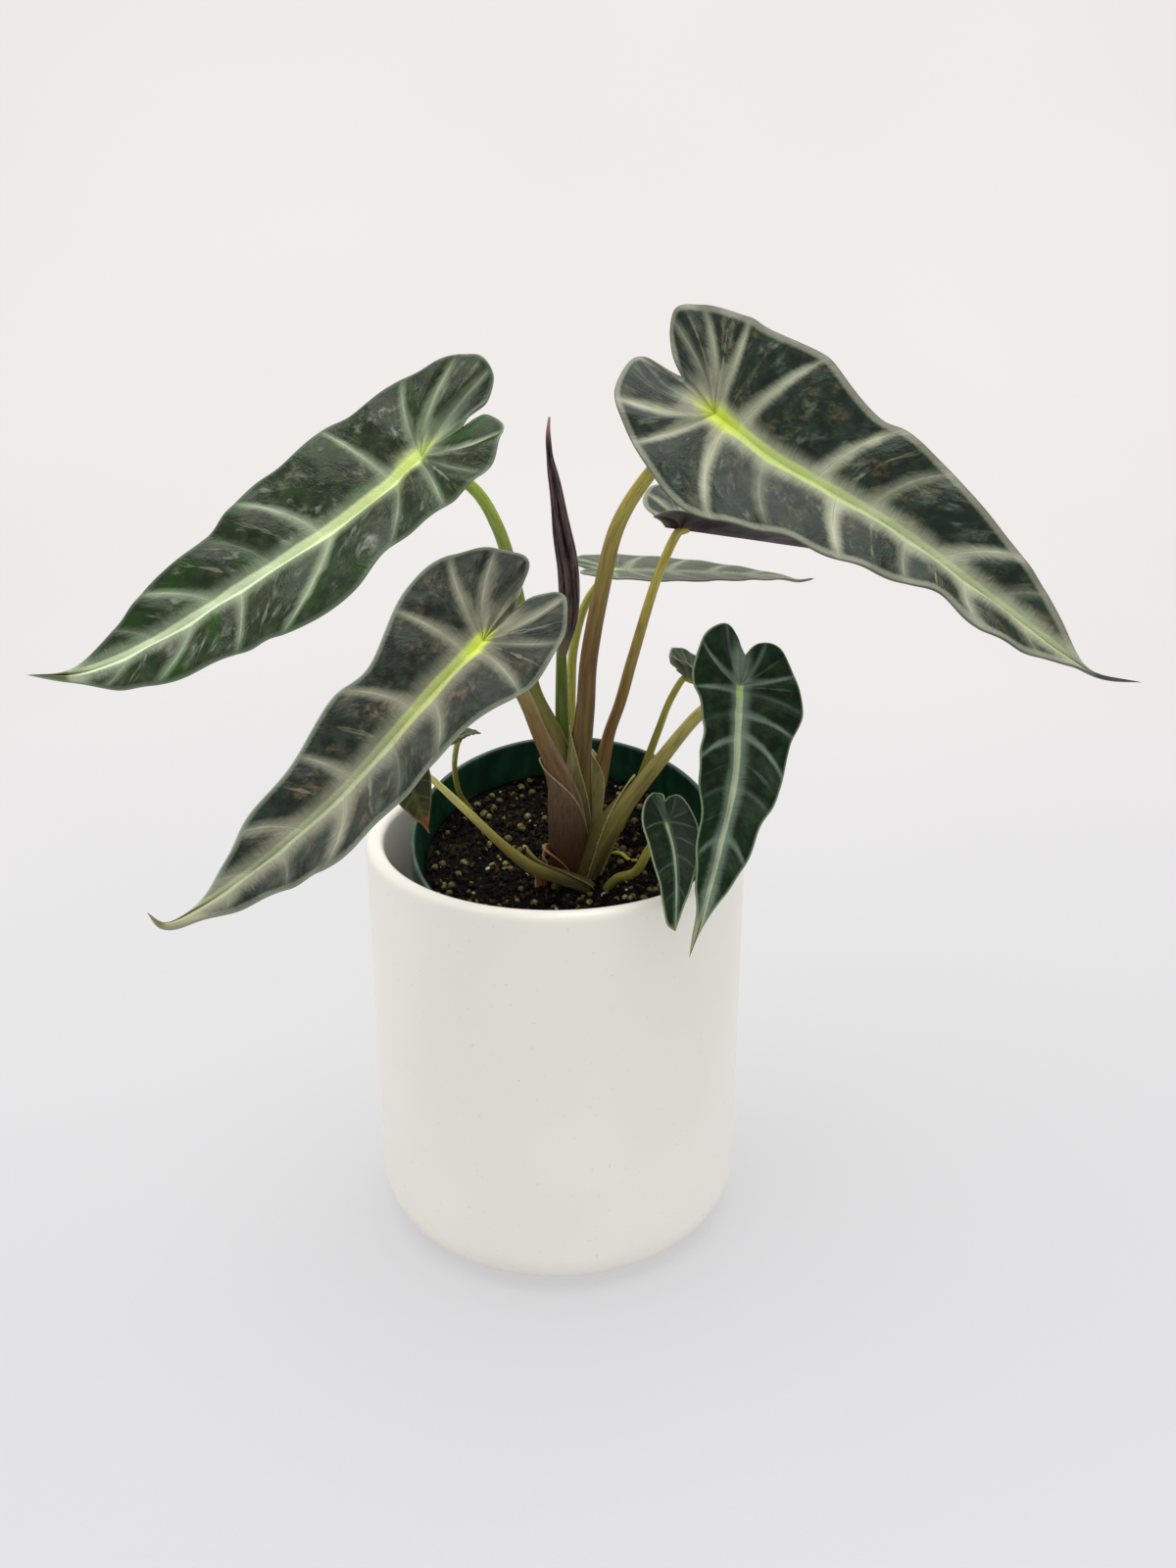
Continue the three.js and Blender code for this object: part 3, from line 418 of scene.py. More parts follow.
peat, tree, shader = new_material("moist_peat", Specular_IOR_Level=0.08)
where = object_place(tree)
clods = fade(tree, grain(tree, where, 220, 5, 0.7), 0.35, 0.7)
skin = blend(tree, clods, colour("#040302"), colour("#18100a"))
straw = fade(tree, grain(tree, where, 900, 4, 0.8), 0.62, 0.72)
skin = tint(tree, skin, straw, "#7a5d3a", 0.6)
moss = fade(tree, grain(tree, where, 70, 3), 0.6, 0.68)
skin = tint(tree, skin, moss, "#2f3a14", 0.5)
dress(tree, shader, skin, fade(tree, clods, 0, 1, 0.45, 0.85))
bump(tree, shader, grain(tree, where, 700, 6, 0.75), 0.9, 0.0008)
mesh_piece("soil_bed", nursery_place(points.reshape(-1, 3)), faces, [peat], ["soil"])


def bits_tree():
    """Scatters small lumps over a surface: one tree for crumbs, bark, grit and prills."""
    tree = bpy.data.node_groups.new("loose_bits", "GeometryNodeTree")
    face = tree.interface
    face.new_socket(name="Ground", in_out="INPUT", socket_type="NodeSocketGeometry")
    for label in ("Per square metre", "Smallest", "Largest", "Ruffle", "Ruffle scale", "Sink"):
        face.new_socket(name=label, in_out="INPUT", socket_type="NodeSocketFloat")
    face.new_socket(name="Flatness", in_out="INPUT", socket_type="NodeSocketVector")
    face.new_socket(name="Rounds", in_out="INPUT", socket_type="NodeSocketInt")
    face.new_socket(name="Seed", in_out="INPUT", socket_type="NodeSocketInt")
    face.new_socket(name="Skin", in_out="INPUT", socket_type="NodeSocketMaterial")
    face.new_socket(name="Bits", in_out="OUTPUT", socket_type="NodeSocketGeometry")
    given = put(tree, "NodeGroupInput").outputs
    spots = put(tree, "GeometryNodeDistributePointsOnFaces", {
        "Mesh": given["Ground"], "Density": given["Per square metre"], "Seed": given["Seed"]})
    lump = put(tree, "GeometryNodeMeshIcoSphere", {"Radius": 1.0, "Subdivisions": given["Rounds"]})
    spin = put(tree, "FunctionNodeRandomValue", {
        0: (0, 0, 0), 1: (6.28, 6.28, 6.28), "Seed": given["Seed"]}, data_type="FLOAT_VECTOR")
    size = put(tree, "FunctionNodeRandomValue", {
        2: given["Smallest"], 3: given["Largest"], "Seed": given["Seed"]}, data_type="FLOAT")
    scale = put(tree, "ShaderNodeVectorMath", {0: given["Flatness"], "Scale": size.outputs[1]},
                operation="SCALE")
    placed = put(tree, "GeometryNodeInstanceOnPoints", {
        "Points": spots.outputs[0], "Instance": lump.outputs[0], "Rotation": spin.outputs[0],
        "Scale": scale.outputs[0]})
    whole = put(tree, "GeometryNodeRealizeInstances", {0: placed.outputs[0]})
    spot = put(tree, "GeometryNodeInputPosition").outputs[0]
    dent = put(tree, "ShaderNodeTexNoise", {"Vector": spot, "Scale": given["Ruffle scale"]})
    centred = put(tree, "ShaderNodeVectorMath", {0: dent.outputs["Color"], 1: (0.5, 0.5, 0.5)},
                  operation="SUBTRACT")
    shove = put(tree, "ShaderNodeVectorMath", {0: centred.outputs[0], "Scale": given["Ruffle"]},
                operation="SCALE")
    drop = put(tree, "ShaderNodeCombineXYZ", {2: given["Sink"]})
    offset = put(tree, "ShaderNodeVectorMath", {0: shove.outputs[0], 1: drop.outputs[0]},
                 operation="SUBTRACT")
    ruffled = put(tree, "GeometryNodeSetPosition", {0: whole.outputs[0], "Offset": offset.outputs[0]})
    skinned = put(tree, "GeometryNodeSetMaterial", {0: ruffled.outputs[0], "Material": given["Skin"]})
    put(tree, "NodeGroupOutput", {0: skinned.outputs[0]})
    return tree


soil_top = nursery_place(points[4:].reshape(-1, 3))
top_faces = ring_quads(np.arange(len(soil_top)).reshape(-1, SOIL_SIDES))
loose_bits = bits_tree()


def scattered(name, skin, smooth=False, **given):
    """Runs the scatter over the soil's top and keeps the result as a plain mesh piece."""
    ground_mesh = bpy.data.meshes.new(name)
    ground_mesh.from_pydata((soil_top * MM).tolist(), [], top_faces.tolist())
    ground = bpy.data.objects.new(name + "_ground", ground_mesh)
    bpy.context.scene.collection.objects.link(ground)
    scatter = ground.modifiers.new("scatter", "NODES")
    scatter.node_group = loose_bits
    given["Skin"] = skin
    for socket in loose_bits.interface.items_tree:
        if socket.name in given:
            scatter[socket.identifier] = given[socket.name]
    evaluated = ground.evaluated_get(bpy.context.evaluated_depsgraph_get())
    mesh = bpy.data.meshes.new_from_object(evaluated)
    ground.modifiers.remove(scatter)
    bpy.data.objects.remove(ground)
    if smooth:
        mesh.shade_smooth()
    piece = bpy.data.objects.new(name, mesh)
    bpy.context.scene.collection.objects.link(piece)
    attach(piece, "root")


def bits_material(name, dark, light, scale, roughness):
    """Dull skin of the loose bits, mottled from dark to light."""
    material, tree, shader = new_material(name, Roughness=roughness, Specular_IOR_Level=0.15)
    where = object_place(tree)
    tone = fade(tree, grain(tree, where, scale, 3), 0.52, 0.7)
    tree.links.new(blend(tree, tone, colour(dark), colour(light)), shader.inputs["Base Color"])
    bump(tree, shader, grain(tree, where, scale * 5, 4), 0.5, 0.0003)
    return material


scattered(
    "peat_crumbs", bits_material("crumb_peat", "#040302", "#4c3822", 420, 0.75),
    **{"Per square metre": 430000.0, "Smallest": 0.0004, "Largest": 0.0016, "Ruffle": 0.0016,
       "Ruffle scale": 900.0, "Sink": 0.0001, "Flatness": (1, 1, 0.7), "Rounds": 1, "Seed": 5},
)
scattered(
    "bark_chips", bits_material("chip_bark", "#1a100a", "#7d6242", 260, 0.8),
    **{"Per square metre": 42000.0, "Smallest": 0.0006, "Largest": 0.0019, "Ruffle": 0.001,
       "Ruffle scale": 500.0, "Sink": 0.0001, "Flatness": (1.4, 0.5, 0.35), "Rounds": 1, "Seed": 9},
)
scattered(
    "white_grit", bits_material("grit_white", "#b9b2a2", "#e8e4da", 400, 0.8),
    **{"Per square metre": 7000.0, "Smallest": 0.0003, "Largest": 0.0011, "Ruffle": 0.0006,
       "Ruffle scale": 900.0, "Sink": 0.0001, "Flatness": (1, 0.9, 0.8), "Rounds": 2, "Seed": 14},
)
scattered(
    "feed_prills", bits_material("prill_shell", "#5f5830", "#a79c5e", 500, 0.5), smooth=True,
    **{"Per square metre": 29000.0, "Smallest": 0.0008, "Largest": 0.0016, "Ruffle": 0.0002,
       "Ruffle scale": 700.0, "Sink": 0.0002, "Flatness": (1, 1, 0.95), "Rounds": 3, "Seed": 21},
)

# Stem base
# The short upright rhizome that the stalks grow from, brown and ringed by the scars of
# old leaves. Its foot is set in the soil.
STEM_CENTRE = (8, 2)
STEM_RADIUS = 9.5
STEM_BOTTOM = 106
STEM_TOP = 129

stem_levels = np.linspace(STEM_BOTTOM, STEM_TOP, 60)
stem_profile = [(0, STEM_BOTTOM), (STEM_RADIUS * 0.55, STEM_BOTTOM)]
for level in stem_levels[6:-8]:
    scar = 0.25 * math.sin(level * 2.1) + 0.15 * math.sin(level * 5.3)
    stem_profile.append((STEM_RADIUS - 0.3 + scar, level))
stem_profile += [(STEM_RADIUS * 0.78, STEM_TOP - 0.6), (STEM_RADIUS * 0.5, STEM_TOP + 0.9)]
stem_profile.append((0, STEM_TOP + 1.4))
points, faces = turned(stem_profile, 96)
points = points + (*STEM_CENTRE, 0)

bark, tree, shader = new_material("stem_bark")
where = mapped(tree, object_place(tree), Scale=(1, 1, 0.25))
tone = fade(tree, grain(tree, where, 420, 5, 0.65), 0.3, 0.7)
skin = blend(tree, tone, colour("#241712"), colour("#6b4a36"))
dress(tree, shader, skin, fade(tree, tone, 0, 1, 0.5, 0.8))
bump(tree, shader, grain(tree, where, 600, 5), 0.5, 0.0005)
mesh_piece("stem_foot", points, faces, [bark], ["stem_base"])

# Top right leaf
# The biggest leaf: a thick, arrow-shaped blade with puckered panels between pale sunken
# veins, on a round fleshy stalk that widens to a sheath at its foot. Grown as one.
CURL_WIDTH = 28
RIB_WIDTH = 2.5
RIB_DEPTH = 0.9
RIB_GROOVE = 0.3
VEIN_WIDTH = 0.8
VEIN_DEPTH = 0.28
BUCKLE = 0.3
EDGE_ROUNDING = 0.45


def smooth_curve(knots, steps=40):
    """Points of a centripetal curve through the knots, and their distance along it."""
    knots = np.array(knots, float)
    padded = np.vstack([2 * knots[0] - knots[1], knots, 2 * knots[-1] - knots[-2]])
    u = np.linspace(0, 1, steps, endpoint=False)[:, None]
    parts = []
    for p0, p1, p2, p3 in zip(padded, padded[1:], padded[2:], padded[3:]):
        d0, d1, d2 = (math.sqrt(np.linalg.norm(q - p)) for p, q in ((p0, p1), (p1, p2), (p2, p3)))
        m1 = ((p1 - p0) / d0 - (p2 - p0) / (d0 + d1) + (p2 - p1) / d1) * d1
        m2 = ((p2 - p1) / d1 - (p3 - p1) / (d1 + d2) + (p3 - p2) / d2) * d1
        bend = (3 * (p2 - p1) - 2 * m1 - m2) * u ** 2 + (2 * (p1 - p2) + m1 + m2) * u ** 3
        parts.append(p1 + m1 * u + bend)
    points = np.vstack(parts + [knots[-1:]])
    steps_along = np.linalg.norm(np.diff(points, axis=0), axis=1)
    return points, np.concatenate([[0], np.cumsum(steps_along)])


def along_curve(curve, distance):
    """Places on a curve at distances along it."""
    points, lengths = curve
    return np.stack([np.interp(distance, lengths, axis) for axis in points.T], -1)


def unit(vectors):
    """Vectors brought to a length of one."""
    return vectors / np.maximum(np.linalg.norm(vectors, axis=-1, keepdims=True), 1e-12)


def blade_place(leaf, rib, along, across):
    """Points and upward normals of a blade's middle surface, in distance along and across."""
    length = rib[1][-1]
    share = np.clip(along / length, 0, 1)
    centre = along_curve(rib, share * length)
    slopes = np.gradient(rib[0], rib[1], axis=0)
    forward = unit(along_curve((slopes, rib[1]), share * length))
    level = unit(np.cross((0, 0, 1), forward))
    upright = np.cross(forward, level)
    roll = np.radians(leaf["roll"][0] + (leaf["roll"][1] - leaf["roll"][0]) * share)[:, None]
    left = level * np.cos(roll) + upright * np.sin(roll)
    raised = upright * np.cos(roll) - level * np.sin(roll)
    side = np.sign(across)[:, None]
    reach = np.abs(across)[:, None]
    fold = np.radians(leaf["fold"][0] + (leaf["fold"][1] - leaf["fold"][0]) * share)[:, None]
    bend = math.radians(leaf["curl"]) / CURL_WIDTH
    slope = fold - bend * reach
    point = centre + forward * np.minimum(along, 0)[:, None]
    point = point + left * side * (np.sin(fold) - np.sin(slope)) / bend
    point = point + raised * (np.cos(slope) - np.cos(fold)) / bend
    tilt = slope * np.minimum(1, reach / RIB_WIDTH)
    return point, raised * np.cos(tilt) - left * side * np.sin(tilt)


def vein_line(start, end, shares):
    """A side vein: a curved line from the rib to the outline."""
    middle = np.array([start[0] + 0.25 * (end[0] - start[0]), 0.6 * end[1]])
    s = shares[:, None]
    return (1 - s) ** 2 * np.array(start) + 2 * s * (1 - s) * middle + s ** 2 * np.array(end)


def distance_to_line(places, line):
    """Distance from each place to a line of points, and which side of it the place is on."""
    first, second = line[:-1], line[1:]
    step = second - first
    offset = places[:, None] - first[None]
    size = np.maximum((step ** 2).sum(-1), 1e-9)
    share = np.clip((offset * step).sum(-1) / size, 0, 1)
    gap = offset - share[..., None] * step
    far = np.linalg.norm(gap, axis=-1)
    nearest = far.argmin(1)
    rows = np.arange(len(places))
    near_step, near_offset = step[nearest], offset[rows, nearest]
    turn = near_step[:, 0] * near_offset[:, 1] - near_step[:, 1] * near_offset[:, 0]
    return far[rows, nearest], turn


def side_marks(places, outline, veins, length, sign):
    """Where each place lies among its side's veins, the gap between them, and the margin."""
    reach = outline[1][-1]
    shares = np.linspace(0, 1, 40)
    starts = [0] + [vein[0] for vein in veins] + [length - 0.5]
    ends = [0] + [vein[1] for vein in veins] + [1]
    tips = [along_curve(outline, end * reach) for end in ends]
    lines = [vein_line((start, 0), tip, shares) for start, tip in zip(starts, tips)]
    gaps, turns = zip(*(distance_to_line(places, line) for line in lines))
    gaps, turns = np.array(gaps), np.array(turns) * sign
    panel = (turns[1:-1] < 0).sum(0)
    rows = np.arange(len(places))
    before, after = gaps[panel, rows], gaps[panel + 1, rows]
    spread = before + after + 1e-6
    edge, _ = distance_to_line(places, outline[0][::4])
    return panel + before / spread, spread, edge


def sheet_quads(index):
    """Faces between rows of numbered points, each row open at both ends."""
    corners = [index[:-1, :-1], index[1:, :-1], index[1:, 1:], index[:-1, 1:]]
    return np.stack(corners, -1).reshape(-1, 4)


def blade(name, leaf, upper, under, slot, replaced, substeps=22, columns=40, thickness=0.55):
    """Meshes a blade on rows that run from its rib to its outline, above and below."""
    rib = smooth_curve(leaf["rib"])
    length = rib[1][-1]
    pairs = zip(leaf["left_veins"], leaf["right_veins"])
    starts = np.array([0] + [(a[0] + b[0]) / 2 for a, b in pairs] + [length])
    panels = len(starts) - 1
    phase = np.arange(panels * substeps + 1) / substeps
    even = np.linspace(0, 1, columns)
    shares = even - 0.11 * np.sin(2 * np.pi * even)
    points, marks, faces, face_material = [], [], [], []
    for sign, key in ((1, "left"), (-1, "right")):
        outline = smooth_curve(leaf[key])
        reach = outline[1][-1]
        ends = np.array([0] + [vein[1] for vein in leaf[key + "_veins"]] + [1])
        row_start = np.interp(phase, np.arange(panels + 1), starts)
        row_end = along_curve(outline, np.interp(phase, np.arange(panels + 1), ends) * reach)
        places = np.array([vein_line((s, 0), e, shares) for s, e in zip(row_start, row_end)])
        flat = places.reshape(-1, 2)
        vein, spread, edge = side_marks(flat, outline, leaf[key + "_veins"], length, sign)
        strengths = np.array([0, *leaf.get(key + "_strengths", np.ones(panels - 1)), 0])
        row_share = np.tile(shares, len(phase))
        row_phase = np.repeat(phase, columns)
        edge[row_share > 0.9999] = 0
        at_rib, at_notch = row_share < 0.0001, row_phase < 0.0001
        edge[at_rib] = length - flat[at_rib, 0]
        edge[at_notch] = np.linalg.norm(flat[at_notch] - outline[0][0], axis=1)
        vein = np.clip(vein, 0, panels)
        pillow = np.abs(np.sin(np.pi * vein))
        arch = np.sqrt(np.maximum(0, 4 * row_share * (1 - row_share)))
        quilt = np.abs(np.sin(2 * np.pi * vein)) * np.clip(1.4 - 2 * row_share, 0, 1)
        lift = leaf["puff"] * arch * (0.45 * pillow + 0.5 * pillow ** 2 + 0.14 * quilt)
        lift += leaf["ripple"] * np.sin(2 * np.pi * row_phase) * row_share ** 2
        buckle = np.array([noise.noise((x * 0.11, y * 0.16, length)) for x, y in flat])
        lift += BUCKLE * min(1, leaf["puff"]) * buckle * arch
        lift -= RIB_GROOVE * np.exp(-(flat[:, 1] / 0.9) ** 2) * np.clip(1.1 - flat[:, 0] / length, 0, 1)
        point, normal = blade_place(leaf, rib, flat[:, 0], flat[:, 1])
        rib_depth = RIB_DEPTH * np.exp(-(flat[:, 1] / RIB_WIDTH) ** 2)
        rib_depth *= np.clip(1.15 - flat[:, 0] / length, 0, 1)
        nearest = np.round(vein)
        vein_depth = VEIN_DEPTH * np.exp(-((vein - nearest) * spread / VEIN_WIDTH) ** 2) * arch
        vein_depth *= (nearest > 0.5) & (nearest < panels - 0.5)
        rounding = np.sqrt(1 - (1 - np.clip(edge / EDGE_ROUNDING, 0, 1)) ** 2)
        top = point + normal * (lift - 0.5 * thickness * (1 - rounding))[:, None]
        depth = 0.5 * thickness * (1 + rounding) + (rib_depth + vein_depth) * rounding
        bottom = point + normal * (lift - depth)[:, None]
        first = sum(len(part) for part in points)
        points += [top, bottom]
        strong = strengths[nearest.astype(int)]
        mark = np.stack([flat[:, 0], flat[:, 1], vein, spread, edge, strong], -1)
        marks += [mark, mark]
        quads = sheet_quads(first + np.arange(len(flat)).reshape(len(phase), columns))
        if sign > 0:
            quads = quads[:, ::-1]
        faces += [quads, quads[:, ::-1] + len(flat)]
        face_material += [np.zeros(len(quads), int), np.ones(len(quads), int)]
    marks = np.vstack(marks)
    place = np.column_stack([marks[:, 0], marks[:, 1], np.zeros(len(marks))])
    named = {"place": place, "vein": marks[:, 2], "spread": marks[:, 3], "margin": marks[:, 4],
             "strength": marks[:, 5]}
    return mesh_piece(
        name, np.vstack(points), np.vstack(faces).tolist(), [upper, under], [replaced], named,
        np.concatenate(face_material),
    )


def reads(tree, mark):
    """The node that reads one of a piece's marks."""
    return put(tree, "ShaderNodeAttribute", attribute_name=mark)


def blade_marks_group():
    """Masks of a blade's rib, veins, halos and margin, shared by every leaf material.

    Among them are the painted glints, bronze reflections and crease shade.
    """
    tree = bpy.data.node_groups.new("blade_marks", "ShaderNodeTree")
    face = tree.interface
    sizes = {"Length": 145.0, "Rib width": 2.0, "Rib halo": 5.0, "Vein width": 0.9,
             "Vein halo": 3.4, "Margin": 2.0, "Star": 6.0, "Feather": 3.0}
    for label, size in sizes.items():
        socket = face.new_socket(name=label, in_out="INPUT", socket_type="NodeSocketFloat")
        socket.default_value = size
    made = ("Rib", "Rib halo", "Vein", "Vein halo", "Crease shade", "Minor", "Margin", "Edge line",
            "Star", "Along", "Mottle", "Deep", "Bronze reflection", "Painted glint", "Relief")
    for label in made:
        face.new_socket(name=label, in_out="OUTPUT", socket_type="NodeSocketFloat")
    given = put(tree, "NodeGroupInput").outputs
    place = reads(tree, "place").outputs["Vector"]
    vein = reads(tree, "vein").outputs["Fac"]
    spread = reads(tree, "spread").outputs["Fac"]
    edge = reads(tree, "margin").outputs["Fac"]
    split = put(tree, "ShaderNodeSeparateXYZ", {0: place}).outputs
    across = calc(tree, "ABSOLUTE", split[1])
    side = times(tree, calc(tree, "SIGN", split[1]), 40.0)
    along = calc(tree, "DIVIDE", split[0], given["Length"])

    def spread_noise(scales, scale, detail, rough, turn=0.0):
        """Noise with its own fineness along and across the blade."""
        settled = mapped(tree, place, Scale=scales, Rotation=(0, 0, turn))
        return grain(tree, settled, scale, detail, rough)

    feather = times(tree, given["Feather"],
                   minus(tree, spread_noise((1.6, 0.16, 1), 1.0, 4, 0.7), 0.5))
    haze = times(tree, given["Feather"],
                minus(tree, spread_noise((1, 1, 1), 0.9, 4, 0.65), 0.5))
    slow = times(tree, given["Feather"],
                minus(tree, spread_noise((1, 1, 1), 0.16, 2, 0.5), 0.5))

    rib_taper = fade(tree, along, 0.0, 1.0, 1.0, 0.5)
    rib_width = plus(tree, times(tree, given["Rib width"], rib_taper),
                     times(tree, slow, 0.2))
    ahead = fade(tree, split[0], -1.5, 1.0)
    soft_rib = plus(tree, across, times(tree, feather, 0.12))
    rib = times(tree, fade(tree, soft_rib, rib_width, times(tree, rib_width, 0.55)), ahead)
    halo_reach = times(tree, given["Rib halo"], fade(tree, along, 0.0, 1.0, 1.1, 0.75))
    rough_rib = plus(tree, across, plus(tree, feather, times(tree, slow, 0.5)))
    rib_halo = times(tree, fade(tree, rough_rib, halo_reach, 0.8), fade(tree, split[0], -18, -8))

    nearest = calc(tree, "ROUND", vein)
    allowed = reads(tree, "strength").outputs["Fac"]
    signed = times(tree, minus(tree, vein, nearest), spread)
    off = calc(tree, "ABSOLUTE", signed)
    out_share = calc(tree, "DIVIDE", across, plus(tree, across, plus(tree, edge, 0.01)))
    width = times(tree, given["Vein width"], fade(tree, out_share, 0.0, 1.0, 1.0, 0.35))
    soft_off = plus(tree, off, times(tree, haze, 0.15))
    vein_mask = times(tree, allowed, fade(tree, soft_off, width, 0.0))
    vein_mask = times(tree, vein_mask, fade(tree, out_share, 0.98, 0.6, 0.3, 1.0))
    fibre_place = put(tree, "ShaderNodeCombineXYZ", {
        0: times(tree, across, 1.5), 1: times(tree, signed, 0.16), 2: side})
    fibres = minus(tree, grain(tree, fibre_place.outputs[0], 1.0, 4, 0.7), 0.5)
    rough_off = plus(tree, off, times(tree, fibres, times(tree, given["Feather"], 0.55)))
    rough_off = plus(tree, rough_off, times(tree, slow, 0.5))
    reach = times(tree, given["Vein halo"], fade(tree, out_share, 0.0, 0.9, 1.1, 0.55))
    halo = times(tree, allowed, fade(tree, rough_off, reach, 0.0))
    halo = times(tree, halo, fade(tree, out_share, 1.0, 0.7, 0.45, 1.0))
    # Painted shade along the middle crease of each vein; the same line also dents the bump.
    crease_shade = times(tree, allowed, fade(tree, off, 0.2, 0.04))
    crease_shade = times(tree, crease_shade, fade(tree, out_share, 0.7, 0.3))

    halfway = calc(tree, "ABSOLUTE", minus(tree, calc(tree, "FRACT", vein), 0.5))
    minor_off = plus(tree, times(tree, halfway, spread), times(tree, slow, 0.9))
    minor = fade(tree, calc(tree, "ABSOLUTE", minor_off), 0.42, 0.08)
    panel = put(tree, "ShaderNodeCombineXYZ", {
        0: calc(tree, "FLOOR", vein), 1: calc(tree, "SIGN", split[1])}).outputs[0]
    dice = put(tree, "ShaderNodeTexWhiteNoise", {0: panel}, noise_dimensions="3D").outputs["Value"]
    minor = times(tree, minor, fade(tree, dice, 0.3, 0.9))
    minor = times(tree, minor, fade(tree, out_share, 0.95, 0.6, 0.2, 1.0))
    minor = times(tree, minor, fade(tree, out_share, 0.1, 0.35))

    ragged = plus(tree, edge, times(tree, haze, 0.3))
    margin = fade(tree, ragged, given["Margin"], times(tree, given["Margin"], 0.5))
    edge_line = fade(tree, edge, 0.5, 0.15)
    drawn_in = mapped(tree, place, Location=(-1.5, 0, 0), Scale=(0.7, 1.7, 1))
    from_start = put(tree, "ShaderNodeVectorMath", {0: drawn_in}, operation="LENGTH").outputs["Value"]
    ragged_start = plus(tree, from_start, times(tree, haze, 1.2))
    star = fade(tree, ragged_start, given["Star"], times(tree, given["Star"], 0.2))

    across_veins = put(tree, "ShaderNodeCombineXYZ", {
        0: times(tree, vein, 3.0), 1: times(tree, across, 0.1), 2: side}).outputs[0]
    wrinkles = grain(tree, across_veins, 1.6, 4, 0.65, 0.35)
    patches = grain(tree, mapped(tree, place, Location=(31, 0, 0)), 0.09, 2)
    inside = times(tree, fade(tree, off, 0.8, 2.6), fade(tree, edge, 1.0, 3.5))
    # Painted reflections: pale glints in streaks along the veins, gathered in patches, away from the
    # veins and the margin.
    glint = times(tree, fade(tree, wrinkles, 0.5, 0.7), fade(tree, patches, 0.4, 0.58))
    glint = times(tree, glint, inside)
    # Painted reflections: warm bronze streaks across the veins, in patches of their own, away from the
    # veins and the margin.
    reflection_place = mapped(tree, across_veins, Location=(7.7, 3.3, 0), Scale=(1, 1.4, 1))
    reflection_streaks = fade(tree, grain(tree, reflection_place, 1.5, 4, 0.7, 0.3), 0.48, 0.68)
    reflection_patches = grain(tree, mapped(tree, place, Location=(5, 60, 0)), 0.08, 2)
    bronze = times(tree, reflection_streaks, fade(tree, reflection_patches, 0.45, 0.58))
    bronze = times(tree, bronze, inside)
    mottle = fade(tree, grain(tree, place, 0.22, 4, 0.6), 0.38, 0.66)
    deep = fade(tree, grain(tree, across_veins, 0.5, 3, 0.5), 0.45, 0.62)
    deep = times(tree, deep, fade(tree, grain(tree, place, 0.07, 2), 0.45, 0.6))
    cells = put(tree, "ShaderNodeTexVoronoi", {"Vector": place, "Scale": 1.9}, feature="SMOOTH_F1")
    relief = plus(tree, times(tree, cells.outputs["Distance"], 0.25),
                  times(tree, wrinkles, 3.0))
    relief = minus(tree, relief, times(tree, crease_shade, 0.8))
    made_values = (rib, rib_halo, vein_mask, halo, crease_shade, minor, margin, edge_line, star, along, mottle,
                   deep, bronze, glint, relief)
    put(tree, "NodeGroupOutput", dict(zip(made, made_values)))
    return tree


blade_marks = blade_marks_group()


def leaf_upper(name, panel, glow, deep, glint, halo, vein, rib_low, rib_high, star, bronze, margin, line,
               tip, gloss=0.3, halo_share=0.85, glint_share=0.6, bronze_share=0.7, tip_from=0.88,
               thread="#5d6148", thread_from=0.97, vein_share=0.55, shine=0.32, **sizes):
    """The upper face of a blade, from its own colours and vein sizes."""
    material, tree, shader = new_material(name, IOR=1.4, Specular_IOR_Level=shine)
    marks = put(tree, "ShaderNodeGroup", node_tree=blade_marks)
    for label, size in sizes.items():
        marks.inputs[label.replace("_", " ")].default_value = size
    made = marks.outputs
    skin = blend(tree, made["Mottle"], colour(panel), colour(glow))
    skin = tint(tree, skin, made["Deep"], deep)
    # Painted reflections: pale glints, then warm bronze streaks.
    skin = tint(tree, skin, made["Painted glint"], glint, glint_share)
    skin = tint(tree, skin, made["Bronze reflection"], bronze, bronze_share)
    skin = tint(tree, skin, made["Minor"], vein, 0.6 * vein_share)
    skin = tint(tree, skin, made["Vein halo"], halo, halo_share)
    skin = tint(tree, skin, made["Vein"], vein, vein_share)
    # Painted shade along the veins' middle crease.
    skin = tint(tree, skin, made["Crease shade"], glow, 0.4)
    skin = tint(tree, skin, made["Margin"], margin, 0.7)
    skin = tint(tree, skin, made["Rib halo"], halo, halo_share)
    rib_tone = blend(tree, fade(tree, made["Along"], 0.05, 0.5), colour(rib_low), colour(rib_high))
    skin = blend(tree, times(tree, made["Rib"], 0.95), skin, rib_tone)
    skin = tint(tree, skin, made["Star"], star, 0.85)
    skin = tint(tree, skin, fade(tree, made["Along"], tip_from, tip_from + 0.06), tip)
    skin = tint(tree, skin, fade(tree, made["Along"], thread_from, thread_from + 0.015), thread)
    skin = tint(tree, skin, made["Edge line"], line, 0.7)
    tree.links.new(skin, shader.inputs["Base Color"])
    soft = plus(tree, fade(tree, made["Vein halo"], 0.0, 1.0, gloss, gloss + 0.15),
                times(tree, made["Mottle"], 0.06))
    tree.links.new(soft, shader.inputs["Roughness"])
    bump(tree, shader, made["Relief"], 0.35, 0.0006)
    return material


